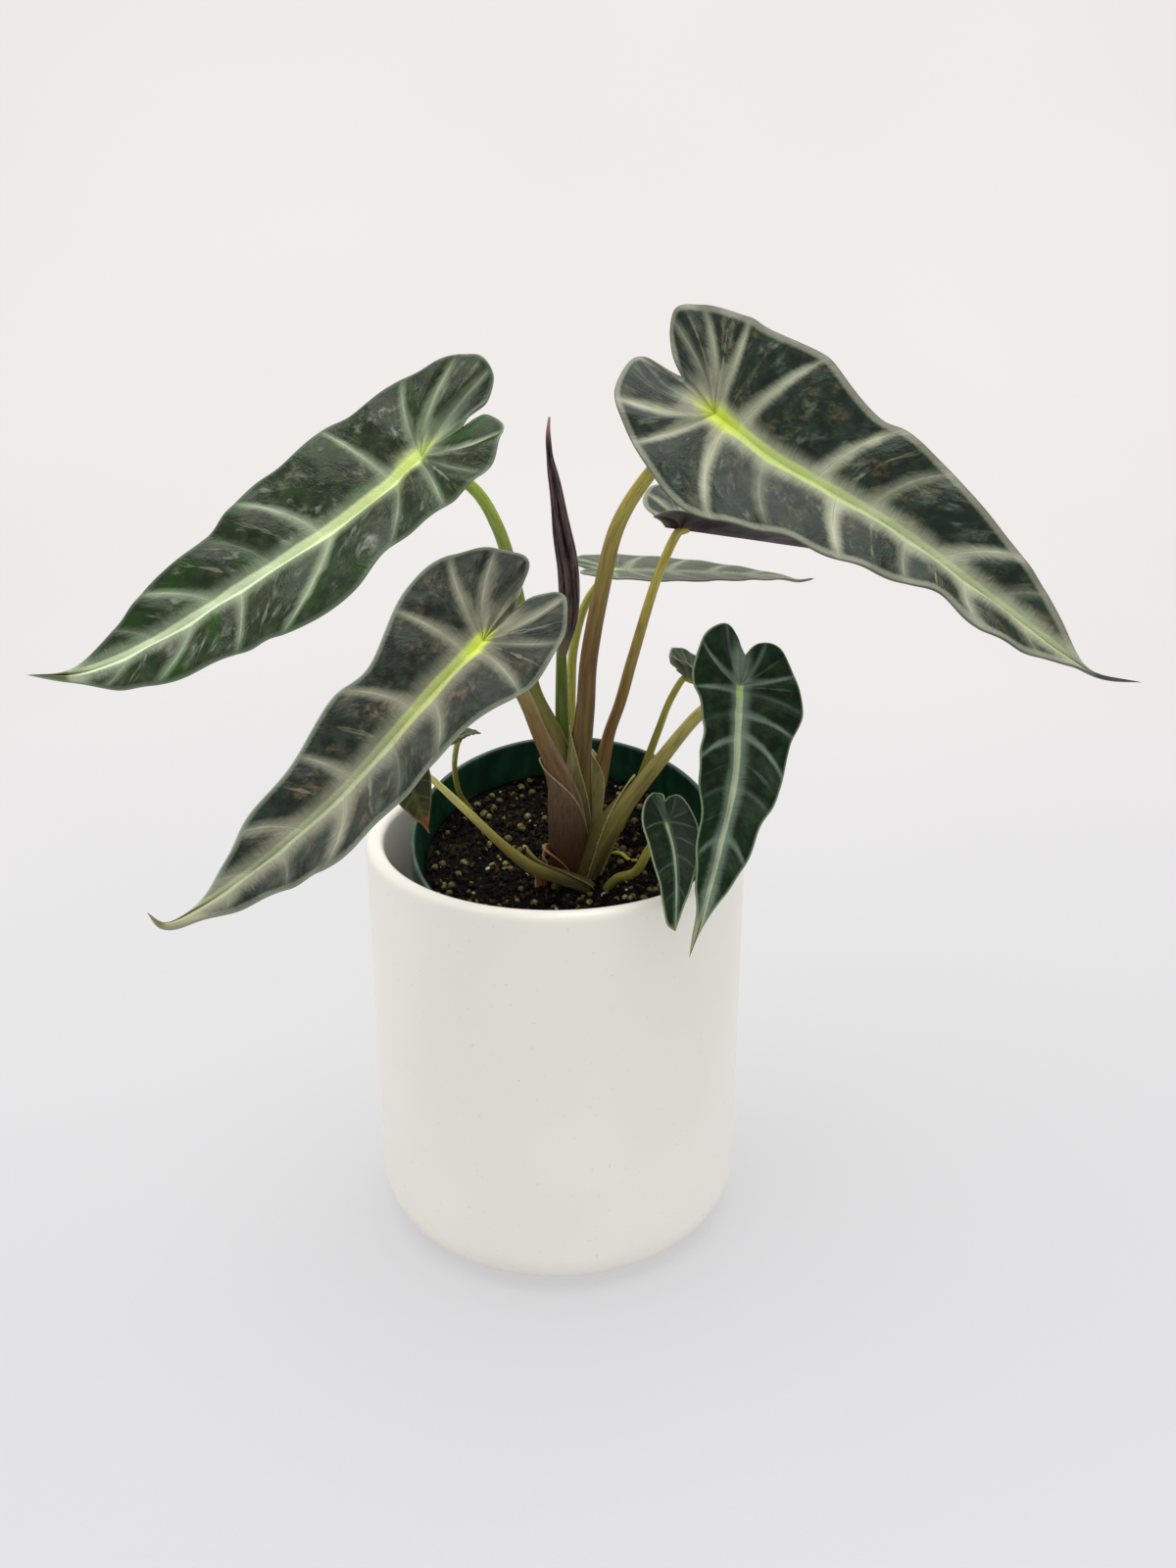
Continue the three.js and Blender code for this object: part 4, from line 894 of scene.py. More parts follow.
def leaf_under(name, panel, glow, vein, margin, **sizes):
    """The under face of a blade: duller, with its veins standing out."""
    material, tree, shader = new_material(name, IOR=1.4)
    marks = put(tree, "ShaderNodeGroup", node_tree=blade_marks)
    for label, size in sizes.items():
        marks.inputs[label.replace("_", " ")].default_value = size
    made = marks.outputs
    skin = blend(tree, made["Mottle"], colour(panel), colour(glow))
    skin = tint(tree, skin, made["Vein halo"], vein, 0.35)
    skin = tint(tree, skin, made["Vein"], vein, 0.8)
    skin = tint(tree, skin, made["Rib"], vein)
    skin = tint(tree, skin, made["Margin"], margin)
    dress(tree, shader, skin, fade(tree, made["Mottle"], 0, 1, 0.42, 0.55))
    bump(tree, shader, made["Relief"], 0.2, 0.0004)
    return material


def ring_sweep(curve, spots, radii, sides, step, ridge=None):
    """Rings of points along a curve, closed at both ends, with radii at spots along it."""
    points, lengths = curve
    total = lengths[-1]
    rows = max(8, int(total / step))
    distance = np.linspace(0, total, rows + 1)
    centre = along_curve(curve, distance)
    forward = unit(along_curve((np.gradient(points, lengths, axis=0), lengths), distance))
    sizes = smooth_curve(list(zip(spots, radii)), 12)[0]
    radius = np.interp(distance, sizes[:, 0], sizes[:, 1])
    normal = unit(np.cross(forward[0], (0.3, 1, 0.1)))
    angle = 2 * np.pi * np.arange(sides) / sides
    rings, marks = [], []
    for row in range(rows + 1):
        normal = unit(normal - forward[row] * np.dot(normal, forward[row]))
        other = np.cross(forward[row], normal)
        swell = ridge(angle, distance[row] / total) if ridge else np.ones(sides)
        out = np.cos(angle)[:, None] * normal + np.sin(angle)[:, None] * other
        rings.append(centre[row] + out * (radius[row] * swell)[:, None])
        marks.append(np.column_stack([radius[row] * np.cos(angle), radius[row] * np.sin(angle),
                                      np.full(sides, distance[row])]))
    rings = np.array([np.repeat(centre[:1], sides, 0)] + rings + [np.repeat(centre[-1:], sides, 0)])
    skin = np.array([marks[0]] + marks + [marks[-1]]).reshape(-1, 3)
    share = np.repeat(np.concatenate([[0], distance / total, [1]]), sides)
    quads = ring_quads(np.arange(rings.shape[0] * sides).reshape(rings.shape[0], sides))
    return rings.reshape(-1, 3), quads.tolist(), {"skin": skin, "share": share}


def stalk(name, leaf, route, radii, skin, slot, replaced=None, sides=28, step=1.2, run=1.0):
    """A stalk that runs on for a short way as the raised rib under its blade."""
    path = list(route)
    sizes = list(radii)
    main = smooth_curve(route)[1][-1]
    spots_on = list(np.linspace(0, main, len(radii)))
    if leaf:
        rib = smooth_curve(leaf["rib"])
        reach = run * min(1, rib[1][-1] / 100)
        spots = np.array([0.5, 5, 12, 20]) * reach
        place, normal = blade_place(leaf, rib, spots, np.zeros(len(spots)))
        under = place - normal * (np.array([1.3, 1.15, 0.85, 0.5]) * radii[-1] + 0.4)[:, None]
        path = path[:-1] + [tuple(spot) for spot in under]
        sizes += [radii[-1] * 0.8, radii[-1] * 0.3]
        spots_on += [main + 8 * reach, smooth_curve(path)[1][-1]]
    points, quads, marks = ring_sweep(smooth_curve(path), spots_on, sizes, sides, step)
    return mesh_piece(name, points, quads, [skin], [replaced] if replaced else (), marks)


def stalk_skin(name, foot, middle, top, streak, streak_share=0.5, shine=0.38):
    """Fleshy stalk: colour changes from foot to top, with fine lengthwise streaks."""
    material, tree, shader = new_material(name, IOR=1.42, Specular_IOR_Level=0.32)
    share = reads(tree, "share").outputs["Fac"]
    place = reads(tree, "skin").outputs["Vector"]
    skin = blend(tree, fade(tree, share, 0.05, 0.5), colour(foot), colour(middle))
    skin = tint(tree, skin, fade(tree, share, 0.45, 0.88), top)
    drawn = mapped(tree, place, Scale=(1, 1, 0.06))
    lines = fade(tree, grain(tree, drawn, 1.9, 5, 0.7), 0.42, 0.62)
    skin = tint(tree, skin, lines, streak, streak_share)
    wash = fade(tree, grain(tree, drawn, 0.5, 2), 0.4, 0.65)
    skin = tint(tree, skin, wash, top, 0.15)
    flecks = fade(tree, grain(tree, place, 2.2, 3, 0.7), 0.6, 0.7)
    skin = tint(tree, skin, flecks, streak, 0.35)
    dress(tree, shader, skin, fade(tree, lines, 0, 1, shine, shine + 0.15))
    bump(tree, shader, grain(tree, drawn, 4.0, 3), 0.25, 0.0004)
    return material


def grown_leaf(name, leaf, foot, upper, under, stem, slot="dark_leaf", sides=28, run=1.0, **mesh):
    """A leaf's blade and the stalk that carries it, each in place of the solid of its name.

    upper, under and stem are the colours of the blade's two faces and of the stalk."""
    faces = leaf_upper(name + "_upper", **upper), leaf_under(name + "_under", **under)
    blade("blade_" + name, leaf, *faces, slot, "leaf_" + name, **mesh)
    skin = stalk_skin(name + "_stalk_skin", **stem)
    stalk("petiole_" + name, leaf, **foot, skin=skin, slot="olive_stalk",
          replaced="stalk_" + name, sides=sides, run=run)


def sheath(name, surface, route, radii, reach, facing, half_turn, slot="olive_stalk", flare=1.0,
           start=0.0, slant=1.3):
    """The winged sheath at a stalk's foot: a pointed tongue wrapped round it, with a pale edge."""
    curve = smooth_curve(route)
    points, lengths = curve
    distance = np.linspace(start, start + reach, 70)
    centre = along_curve(curve, distance)
    forward = unit(along_curve((np.gradient(points, lengths, axis=0), lengths), distance))
    sizes = smooth_curve([(i, r) for i, r in enumerate(radii)], 12)[0]
    radius = np.interp(distance / lengths[-1] * (len(radii) - 1), sizes[:, 0], sizes[:, 1])
    toward = unit(np.array(facing, float) - forward * (forward @ np.array(facing, float))[:, None])
    aside = np.cross(forward, toward)
    share = (distance - start) / reach
    turn = np.radians(half_turn) * (1 - share ** slant) ** 0.8
    spot = np.linspace(-1, 1, 33)
    angle = turn[:, None] * spot
    away = np.cos(angle)[..., None] * toward[:, None] + np.sin(angle)[..., None] * aside[:, None]
    lift = 0.12 + flare * (0.25 * np.abs(spot) ** 6 + 1.1 * share[:, None] ** 10)
    thick = 0.32 * np.sqrt(1 - 0.9 * spot ** 8)
    inner = centre[:, None] + away * (radius[:, None] + lift - 0.3)[..., None]
    outer = centre[:, None] + away * (radius[:, None] + lift + thick)[..., None]
    rows, columns = angle.shape
    index = np.arange(rows * columns).reshape(rows, columns)
    quads = sheet_quads(index)
    rim = np.concatenate([index[0], index[1:, -1], index[-1, -2::-1], index[-2:0:-1, 0]])
    after = np.roll(rim, -1)
    size = rows * columns
    wall = np.stack([rim, after, after + size, rim + size], -1)
    faces = np.vstack([quads, quads[:, ::-1] + size, wall])
    edge = (1 - np.abs(spot)) * np.maximum(radius * turn, 0.01)[:, None]
    edge = np.minimum(edge, (reach * (1 - share))[:, None])
    skin = np.stack([radius[:, None] * np.cos(angle), radius[:, None] * np.sin(angle),
                     np.repeat(distance[:, None], columns, 1)], -1).reshape(-1, 3)
    marks = {"skin": np.vstack([skin, skin]), "share": np.tile(np.repeat(share, columns), 2),
             "margin": np.tile(edge.ravel(), 2)}
    every = np.vstack([inner.reshape(-1, 3), outer.reshape(-1, 3)])
    mesh_piece(name, every, faces.tolist(), [surface], (), marks)


def sheath_skin(name, foot, top, edge, streak, edge_width=0.5):
    """Sheath: fine lengthwise streaks, and a thin papery edge that has dried paler."""
    material, tree, shader = new_material(name, IOR=1.42, Specular_IOR_Level=0.32)
    place = reads(tree, "skin").outputs["Vector"]
    drawn = mapped(tree, place, Scale=(1, 1, 0.06))
    share = reads(tree, "share").outputs["Fac"]
    skin = blend(tree, fade(tree, share, 0.1, 0.9), colour(foot), colour(top))
    lines = fade(tree, grain(tree, drawn, 2.2, 5, 0.7), 0.42, 0.62)
    skin = tint(tree, skin, lines, streak, 0.5)
    ragged = plus(tree, reads(tree, "margin").outputs["Fac"],
                  times(tree, minus(tree, grain(tree, place, 1.2, 4), 0.5), 1.2))
    skin = tint(tree, skin, fade(tree, ragged, edge_width, edge_width * 0.3), edge)
    dress(tree, shader, skin, fade(tree, lines, 0, 1, 0.4, 0.55))
    bump(tree, shader, grain(tree, drawn, 4.0, 3), 0.3, 0.0004)
    return material


TOP_RIGHT_LEAF = dict(
    rib=[
        (47.5, -19, 282), (63.5, -34, 271.5), (79, -44.5, 264), (96.5, -55, 255), (114, -65, 243.5),
        (129.5, -71.5, 233), (145.5, -76.5, 222), (160, -76.5, 219.5),
    ],
    roll=(59, 41),
    fold=(24, 28),
    curl=15,
    puff=1.5,
    ripple=0.8,
    left=[
        (-16, 2.5), (-27.5, 11), (-28, 18.5), (-6.5, 27.5), (1, 28), (22, 31), (45.5, 23.5), (53.5, 24),
        (73.5, 19.5), (85, 17), (104.5, 11.5), (114.5, 7), (129.5, 1), (144.8, 0),
    ],
    left_veins=[
        (0, 0.09), (0, 0.15), (0, 0.23), (9, 0.37), (38, 0.53), (55, 0.61), (79, 0.75), (97, 0.81),
    ],
    left_strengths=(0.5, 0.8, 0.9, 1, 1, 0.5, 0.9, 0.3),
    right=[
        (-16, 2.5), (-33, -1), (-30, -12.5), (-18, -20), (-1.5, -25.5), (17, -28), (37.5, -21.5),
        (62, -18), (79, -13), (86.5, -10), (102, -12), (121, -5), (128, -1), (144.8, 0),
    ],
    right_veins=[
        (0, 0.16), (0, 0.24), (5, 0.41), (22, 0.48), (46, 0.58), (69, 0.67), (88, 0.78), (107, 0.86),
    ],
    right_strengths=(0.9, 0.9, 1, 0.3, 1, 0.4, 0.7, 0.3),
)
TOP_RIGHT_STALK = dict(
    route=[
        (7.5, 4, 118), (7, 4, 128), (8, 4, 146), (8, 3, 164), (10, 2, 185), (11, 0, 201), (15, -2, 225),
        (20, -4, 246), (29, -8, 262), (38, -11.5, 272), (47.5, -19, 282),
    ],
    radii=[4.4, 4.3, 3.9, 3.1, 2.8, 2.6, 2.3, 2, 1.8],
)
grown_leaf(
    "top_right", TOP_RIGHT_LEAF, TOP_RIGHT_STALK, substeps=24, columns=44,
    upper=dict(
        panel="#121c11", glow="#233325", deep="#0f2216", glint="#77806e", halo="#adaf94", vein="#bcbb9e",
        rib_low="#c3d478", rib_high="#bcc69c", star="#cddc50", bronze="#74653f", margin="#8f917c",
        line="#4a5044", tip="#8f9580", gloss=0.28, bronze_share=0.5, tip_from=0.83, thread="#2e2030",
        thread_from=0.9, Length=145.0, Rib_width=2.9, Rib_halo=6.8, Vein_width=0.9, Vein_halo=4.0,
        Margin=2.4, Star=9.0,
    ),
    under=dict(panel="#241620", glow="#3a2630", vein="#7d7a5c", margin="#6c6a50", Length=145.0),
    stem=dict(foot="#45351c", middle="#74562f", top="#c6bb58", streak="#4a3826"),
)
top_right_wing = sheath_skin(
    "top_right_sheath", foot="#5c4a32", top="#8a8450", edge="#a39a6c", streak="#4a3826")
sheath("sheath_top_right", top_right_wing, **TOP_RIGHT_STALK, reach=54, facing=(-1, -0.1, 0),
       half_turn=150, start=6, slant=2.5)

# Top left leaf
# The second big leaf, seen from its left side: glossier than the others, with saturated
# green panels beside the rib and painted pale glints, reflections, on its puckers. Its stalk
# is greener on top.
TOP_LEFT_LEAF = dict(
    rib=[
        (-38, -16, 269), (-52.5, -20.5, 257), (-70, -25.5, 245.5), (-93, -31.5, 232), (-116, -37.5, 219),
        (-138.5, -42, 210.5), (-153.5, -43, 210.5),
    ],
    roll=(-31, -62),
    fold=(24, 14),
    curl=17,
    puff=1.6,
    ripple=0.8,
    left=[
        (-13.5, 4), (-17, 7), (-21.5, 8), (-22.5, 18.5), (-9.5, 28.5), (8, 26.5), (23.5, 22.5),
        (37.5, 27), (57, 24.5), (79.5, 18.5), (104.5, 12), (122.5, 2.5), (134.9, 0),
    ],
    left_veins=[
        (0, 0.12), (0, 0.2), (1, 0.28), (10, 0.38), (34, 0.59), (66, 0.67), (83, 0.8), (104, 0.88),
    ],
    left_strengths=(1, 0.4, 0.7, 0.5, 1, 0.7, 0.7, 0.4),
    right=[
        (-13.5, 4), (-31.5, -4), (-32, -13.5), (-15, -22.5), (7, -26), (16, -28.5), (36.5, -26),
        (47, -26), (69, -18.5), (86.5, -16.5), (94.5, -13.5), (121, -2), (134.9, 0),
    ],
    right_veins=[
        (0, 0.11), (0, 0.17), (0, 0.26), (11, 0.41), (37, 0.59), (54, 0.66), (74, 0.78), (95, 0.85),
    ],
    right_strengths=(0.5, 0.9, 0.7, 0.9, 1, 0.25, 0.9, 0.35),
)
TOP_LEFT_STALK = dict(
    route=[
        (6.5, 8, 118), (6, 9, 129), (4, 8, 155), (1, 6, 171), (-7, 4, 190), (-12, 0, 225), (-17, -3, 245),
        (-24, -7, 258), (-38, -16, 269),
    ],
    radii=[4, 3.8, 3.2, 2.5, 2.3, 2.1, 1.9, 1.7],
)
grown_leaf(
    "top_left", TOP_LEFT_LEAF, TOP_LEFT_STALK, substeps=24, columns=44,
    upper=dict(
        panel="#18240f", glow="#2c3a22", deep="#1b3c06", glint="#7e8272", halo="#95a284", vein="#bac4a6",
        rib_low="#d8e4a0", rib_high="#dce8c2", star="#d6e486", bronze="#5c5330", margin="#4f5c46",
        line="#7d8a74", tip="#9aa084", gloss=0.22, tip_from=0.85, thread="#5f6a40", thread_from=0.9,
        halo_share=0.75, glint_share=0.9, bronze_share=0.35, Length=135.0, Rib_width=3.0, Rib_halo=6.8,
        Vein_width=0.8, Vein_halo=3.4, Margin=1.5, Star=9.0,
    ),
    under=dict(panel="#22151d", glow="#35232b", vein="#75755a", margin="#65664c", Length=135.0),
    stem=dict(foot="#6b4f3a", middle="#7d7a3c", top="#a3bd4e", streak="#4d3b28"),
)

# Front left leaf
# The low leaf that hangs over the pot's rim at the front, a little browner and more
# mottled than the top ones. Its sheath is purplish brown, with a pale papery edge.
FRONT_LEFT_LEAF = dict(
    rib=[
        (-18.5, -56.5, 225), (-29.5, -68.5, 216.5), (-42, -83, 205.5), (-54.5, -98, 195),
        (-71.5, -116, 184.5), (-86, -129.5, 178), (-92.5, -134.9, 177), (-96, -135.7, 180.4),
    ],
    roll=(-32, -46),
    fold=(24, 17),
    curl=18,
    puff=1.4,
    ripple=0.7,
    left=[
        (-15, -0.5), (-26, 6), (-25.5, 9.5), (-14.5, 18), (3, 22), (10.5, 21), (27.5, 15), (45, 14.5),
        (62.5, 13.5), (78, 13), (101, 7), (113.5, 3), (124.2, 0),
    ],
    left_veins=[(0, 0.1), (0, 0.2), (3, 0.32), (23, 0.5), (41, 0.6), (61, 0.74), (84, 0.8), (101, 0.89)],
    left_strengths=(1, 0.6, 0.9, 0.7, 0.2, 1, 0.3, 0.3),
    right=[
        (-15, -0.5), (-27.5, -6), (-28.5, -9), (-23, -17), (-10.5, -24.5), (5, -25.5), (29.5, -17.5),
        (43, -19), (69, -14), (85.5, -11.5), (97.5, -6), (110, -1), (124.2, 0),
    ],
    right_veins=[
        (0, 0.06), (0, 0.14), (0, 0.22), (6, 0.36), (29, 0.52), (56, 0.65), (76, 0.8), (94, 0.88),
    ],
    right_strengths=(0.3, 0.9, 0.9, 1, 1, 0.9, 0.8, 0.3),
)
FRONT_LEFT_STALK = dict(
    route=[
        (5.5, 1, 118), (5, 0, 127), (4, -7, 147), (2, -16, 166), (-4, -27, 186), (-9, -37, 203),
        (-18.5, -56.5, 225),
    ],
    radii=[6.4, 6.4, 5.6, 3.6, 2.6, 2.3, 2, 1.7],
)
grown_leaf(
    "front_left", FRONT_LEFT_LEAF, FRONT_LEFT_STALK, substeps=24, columns=42,
    upper=dict(
        panel="#161d15", glow="#2c3428", deep="#1c2c20", glint="#5f604e", halo="#8e8e78", vein="#a8ab96",
        rib_low="#b4c070", rib_high="#a3a988", star="#d2e05a", bronze="#6c5a42", margin="#6c7462",
        line="#8d9482", tip="#a5a480", gloss=0.32, halo_share=0.8, bronze_share=0.75, shine=0.24,
        tip_from=0.87, thread="#7d6a3c", thread_from=0.955, Length=124.0, Rib_width=2.8, Rib_halo=6.8,
        Vein_width=0.8, Vein_halo=4.2, Margin=1.5, Star=6.5,
    ),
    under=dict(panel="#24161c", glow="#38262a", vein="#747256", margin="#65624a", Length=124.0),
    stem=dict(foot="#4a3320", middle="#785638", top="#a39c50", streak="#4b3330"),
)
front_left_wing = sheath_skin(
    "front_left_sheath", foot="#4e3024", top="#74604a", edge="#a39678", streak="#3c2618")
sheath("sheath_front_left", front_left_wing, **FRONT_LEFT_STALK, reach=60, facing=(-1, 0, 0),
       half_turn=175, start=4, slant=4, flare=0.5)

# Hanging leaf
# A younger leaf that hangs straight down on the right: darker green, with thin veins, a
# lime dot where the stalk joins it and a thin pale margin.
HANGING_LEAF = dict(
    rib=[
        (56.5, -30, 203), (55.5, -39, 192), (54, -49.5, 178.5), (49, -62, 162), (43, -75, 144.5),
        (40, -80, 137),
    ],
    roll=(-18, -30),
    fold=(24, 25),
    curl=14,
    puff=0.9,
    ripple=0.5,
    left=[
        (-10, 1.5), (-14, 5.5), (-12.5, 11.5), (-3.5, 16.5), (8.5, 19.5), (18.5, 16), (35.5, 13),
        (42.5, 10.5), (53.5, 9), (75.5, 1), (84.8, 0),
    ],
    left_veins=[
        (0, 0.07), (0, 0.2), (2, 0.31), (9, 0.38), (15, 0.49), (32, 0.58), (47, 0.73), (62, 0.83),
    ],
    left_strengths=(0.5, 0.8, 0.2, 0.9, 1, 0.25, 0.7, 0.1),
    right=[
        (-10, 1.5), (-18.5, -4), (-15.5, -11.5), (-6, -16.5), (4, -17), (12, -13.5), (28.5, -13.5),
        (43, -9), (57, -7), (70, -3), (84.8, 0),
    ],
    right_veins=[
        (0, 0.1), (0, 0.2), (2, 0.33), (9, 0.42), (17, 0.51), (32, 0.62), (48, 0.76), (63, 0.86),
    ],
    right_strengths=(0.3, 0.9, 0.9, 0.1, 1, 0.2, 0.6, 0.1),
)
HANGING_STALK = dict(
    route=[
        (9, -1, 117), (9.5, -2, 126), (13, -4, 136), (19, -7, 148), (33, -14, 171), (46, -21, 191),
        (56.5, -30, 203),
    ],
    radii=[5.2, 5.2, 4.4, 2.9, 2.4, 2.1, 1.9, 1.6],
)
grown_leaf(
    "hanging", HANGING_LEAF, HANGING_STALK, substeps=18, columns=34,
    upper=dict(
        panel="#101c0e", glow="#1d301b", deep="#102413", glint="#3a483c", halo="#738371", vein="#869280",
        rib_low="#a8b692", rib_high="#a5ae92", star="#98c458", bronze="#3a3a20", margin="#54644f",
        line="#788660", tip="#8c9470", gloss=0.3, tip_from=0.84, thread_from=0.96, halo_share=0.75,
        glint_share=0.4, bronze_share=0.4, vein_share=0.3, thread="#8a4a38", shine=0.1, Length=84.8,
        Rib_width=1.6, Rib_halo=4.4, Vein_width=0.4, Vein_halo=1.9, Margin=0.7, Star=2.2, Feather=1.8,
    ),
    under=dict(panel="#26202a", glow="#37303a", vein="#707a68", margin="#646c58", Length=84.8),
    stem=dict(foot="#4c421e", middle="#8c8044", top="#d4ca74", streak="#4c3f26"),
)
hanging_wing = sheath_skin(
    "hanging_sheath", foot="#544a24", top="#6c6a2c", edge="#a9a670", streak="#4c3f26")
sheath("sheath_hanging", hanging_wing, **HANGING_STALK, reach=48, facing=(-0.4, 0.6, 0.8),
       half_turn=150, start=4, slant=2)

# Small leaf
# One of the plant's first leaves, thin and nearly flat, beside the hanging leaf. Its
# veins are faint and its tip has browned.
SMALL_LEAF = dict(
    rib=[(34, -50.5, 167), (36, -60, 161.5), (36.5, -68.5, 154.5), (36, -77, 144)],
    roll=(-2, -6),
    fold=(17, 16),
    curl=9,
    puff=0.4,
    ripple=0.2,
    left=[(-7.5, 1.5), (-9, 3.5), (-8.5, 6), (3, 9), (13, 7), (21, 5), (28, 2.5), (35.7, 0)],
    left_veins=[(0, 0.08), (0, 0.4), (12, 0.64), (22, 0.82)],
    left_strengths=(0.6, 0.8, 0.6, 0.4),
    right=[(-7.5, 1.5), (-10, 1.5), (-11.5, -0.5), (-6, -6), (6, -8.5), (24, -5), (34, -2.5), (35.7, 0)],
    right_veins=[(0, 0.13), (0, 0.42), (15, 0.69), (24, 0.85)],
    right_strengths=(0.6, 0.8, 0.6, 0.4),
)
SMALL_STALK = dict(
    route=[
        (17, -8, 113), (17, -9, 123), (20, -14, 130), (26, -25, 138), (30, -37, 152), (34, -50.5, 167),
    ],
    radii=[1.7, 1.6, 1.5, 1.3, 1.1],
)
grown_leaf(
    "small", SMALL_LEAF, SMALL_STALK, substeps=16, columns=24, thickness=0.45,
    upper=dict(
        panel="#0b180b", glow="#152612", deep="#122410", glint="#56645a", halo="#52634f", vein="#8a9878",
        rib_low="#8f9a82", rib_high="#8d9a82", star="#869a6a", bronze="#4a431e", margin="#66765a",
        line="#86906c", tip="#7a5a40", gloss=0.36, halo_share=0.45, glint_share=0.15, bronze_share=0.2,
        tip_from=0.93, vein_share=0.25, shine=0.15, Length=35.7, Rib_width=0.6, Rib_halo=1.5,
        Vein_width=0.25, Vein_halo=0.8, Margin=0.7, Star=1.6, Feather=0.7,
    ),
    under=dict(panel="#2a2830", glow="#3a383c", vein="#6d7766", margin="#636b58", Length=35.7),
    stem=dict(foot="#8a8440", middle="#a09a44", top="#a5a850", streak="#6e6433"),
)

# Leaf behind
# A leaf behind the top right one, seen mostly from its dark purple underside, with a pale
# margin. Its stalk is brown, in a pale green sheath at its foot.
COMMON_OUTLINE = [
    (-0.45, 0), (-0.92, 0.2), (-1, 0.5), (-0.62, 0.84), (0.1, 1), (0.3, 0.93), (0.5, 0.73),
    (0.7, 0.44), (0.84, 0.18), (0.92, 0.06), (1, 0),
]
COMMON_VEINS = [(0, 0.13), (0, 0.26), (0.08, 0.42), (0.28, 0.57), (0.48, 0.71), (0.66, 0.83)]


def common_leaf(leaf):
    """Gives a leaf the evenly grown outline that the hidden leaves share, in its own size."""
    length = smooth_curve(leaf["rib"])[1][-1]
    for side, sign in (("left", 1), ("right", -1)):
        leaf[side] = [
            (along * (leaf["lobe"] if along < 0 else length), sign * across * leaf["half_width"])
            for along, across in COMMON_OUTLINE
        ]
        leaf[side + "_veins"] = [(start * length, end) for start, end in COMMON_VEINS]


BEHIND_LEAF = dict(
    rib=[
        (40, 8.5, 243.5), (51, 10.5, 241.5), (70, 13, 238), (94, 17, 233), (118, 20, 226), (134, 21, 221),
    ],
    roll=(2, 2),
    fold=(26, 22),
    curl=6,
    puff=1,
    ripple=0.4,
    half_width=22,
    lobe=11,
)
common_leaf(BEHIND_LEAF)
BEHIND_STALK = dict(
    route=[
        (11, 12, 118), (11.5, 13.5, 131), (12, 13.5, 143), (15, 13, 157), (18, 12, 172),
        (21.5, 11.3, 183), (25.5, 10.2, 199), (34, 9, 229), (40, 8.5, 243.5),
    ],
    radii=[3.2, 3.3, 2.9, 2, 1.9, 1.7, 1.5, 1.3],
)
grown_leaf(
    "behind", BEHIND_LEAF, BEHIND_STALK, substeps=20, columns=34, run=0.15,
    upper=dict(
        panel="#141f18", glow="#22302a", deep="#16281c", glint="#667060", halo="#90967c", vein="#acb090",
        rib_low="#b4c468", rib_high="#b0b692", star="#c0d060", bronze="#55421e", margin="#8a9078",
        line="#a5a888", tip="#8f9580", Length=97.0, Rib_width=1.4, Rib_halo=3.8, Vein_width=0.6,
        Vein_halo=2.8, Margin=1.8, Star=4.0,
    ),
    under=dict(panel="#170f14", glow="#2a1c24", vein="#3e3230", margin="#5a5648", Length=97.0),
    stem=dict(foot="#857a44", middle="#835c32", top="#cabc58", streak="#5a4630"),
)
behind_wing = sheath_skin(
    "behind_sheath", foot="#8a7d50", top="#b3ac70", edge="#c4ba88", streak="#6f5a3c")
sheath("sheath_behind", behind_wing, **BEHIND_STALK, reach=44, facing=(-1, -0.1, 0),
       half_turn=150, start=5, flare=3.2, slant=4)

# Back leaf
# A paler leaf at the back, held nearly level on a yellow-green stalk. Its blade is almost
# flat and its tip curls up a little.
BACK_LEAF = dict(
    rib=[(18, 28, 224), (30, 30, 223), (57, 34, 221), (77, 37, 219), (82.5, 38, 217.8), (88, 39, 218.5)],
    roll=(0, 0),
    fold=(6, 6),
    curl=5,
    puff=0.35,
    ripple=0.15,
    half_width=17.5,
    lobe=11,
)
common_leaf(BACK_LEAF)
BACK_STALK = dict(
    route=[
        (7, 10, 118), (6.5, 13, 130), (5, 22, 157), (5, 28, 183), (6, 29, 197), (11, 28.5, 214),
        (18, 28, 224),
    ],
    radii=[2.6, 2.2, 1.9, 1.7, 1.5, 1.3],
)
grown_leaf(
    "back", BACK_LEAF, BACK_STALK, slot="pale_leaf", substeps=18, columns=32,
    upper=dict(
        panel="#38442f", glow="#46523c", deep="#24362a", glint="#545f4c", halo="#8a9078", vein="#98a088",
        vein_share=0.35, rib_low="#818d6c", rib_high="#74806a", star="#b8c870", bronze="#5c5230",
        margin="#8f9a80", line="#4c5640", tip="#7d8a62", Length=71.0, Rib_width=1.2, Rib_halo=3.0,
        Vein_width=0.6, Vein_halo=2.8, Margin=1.4, Star=3.0,
    ),
    under=dict(panel="#5a6452", glow="#6e7864", vein="#8f9a80", margin="#8a9478", Length=71.0),
    stem=dict(foot="#8a8a3c", middle="#b5b04c", top="#bcb858", streak="#6f7034"),
)

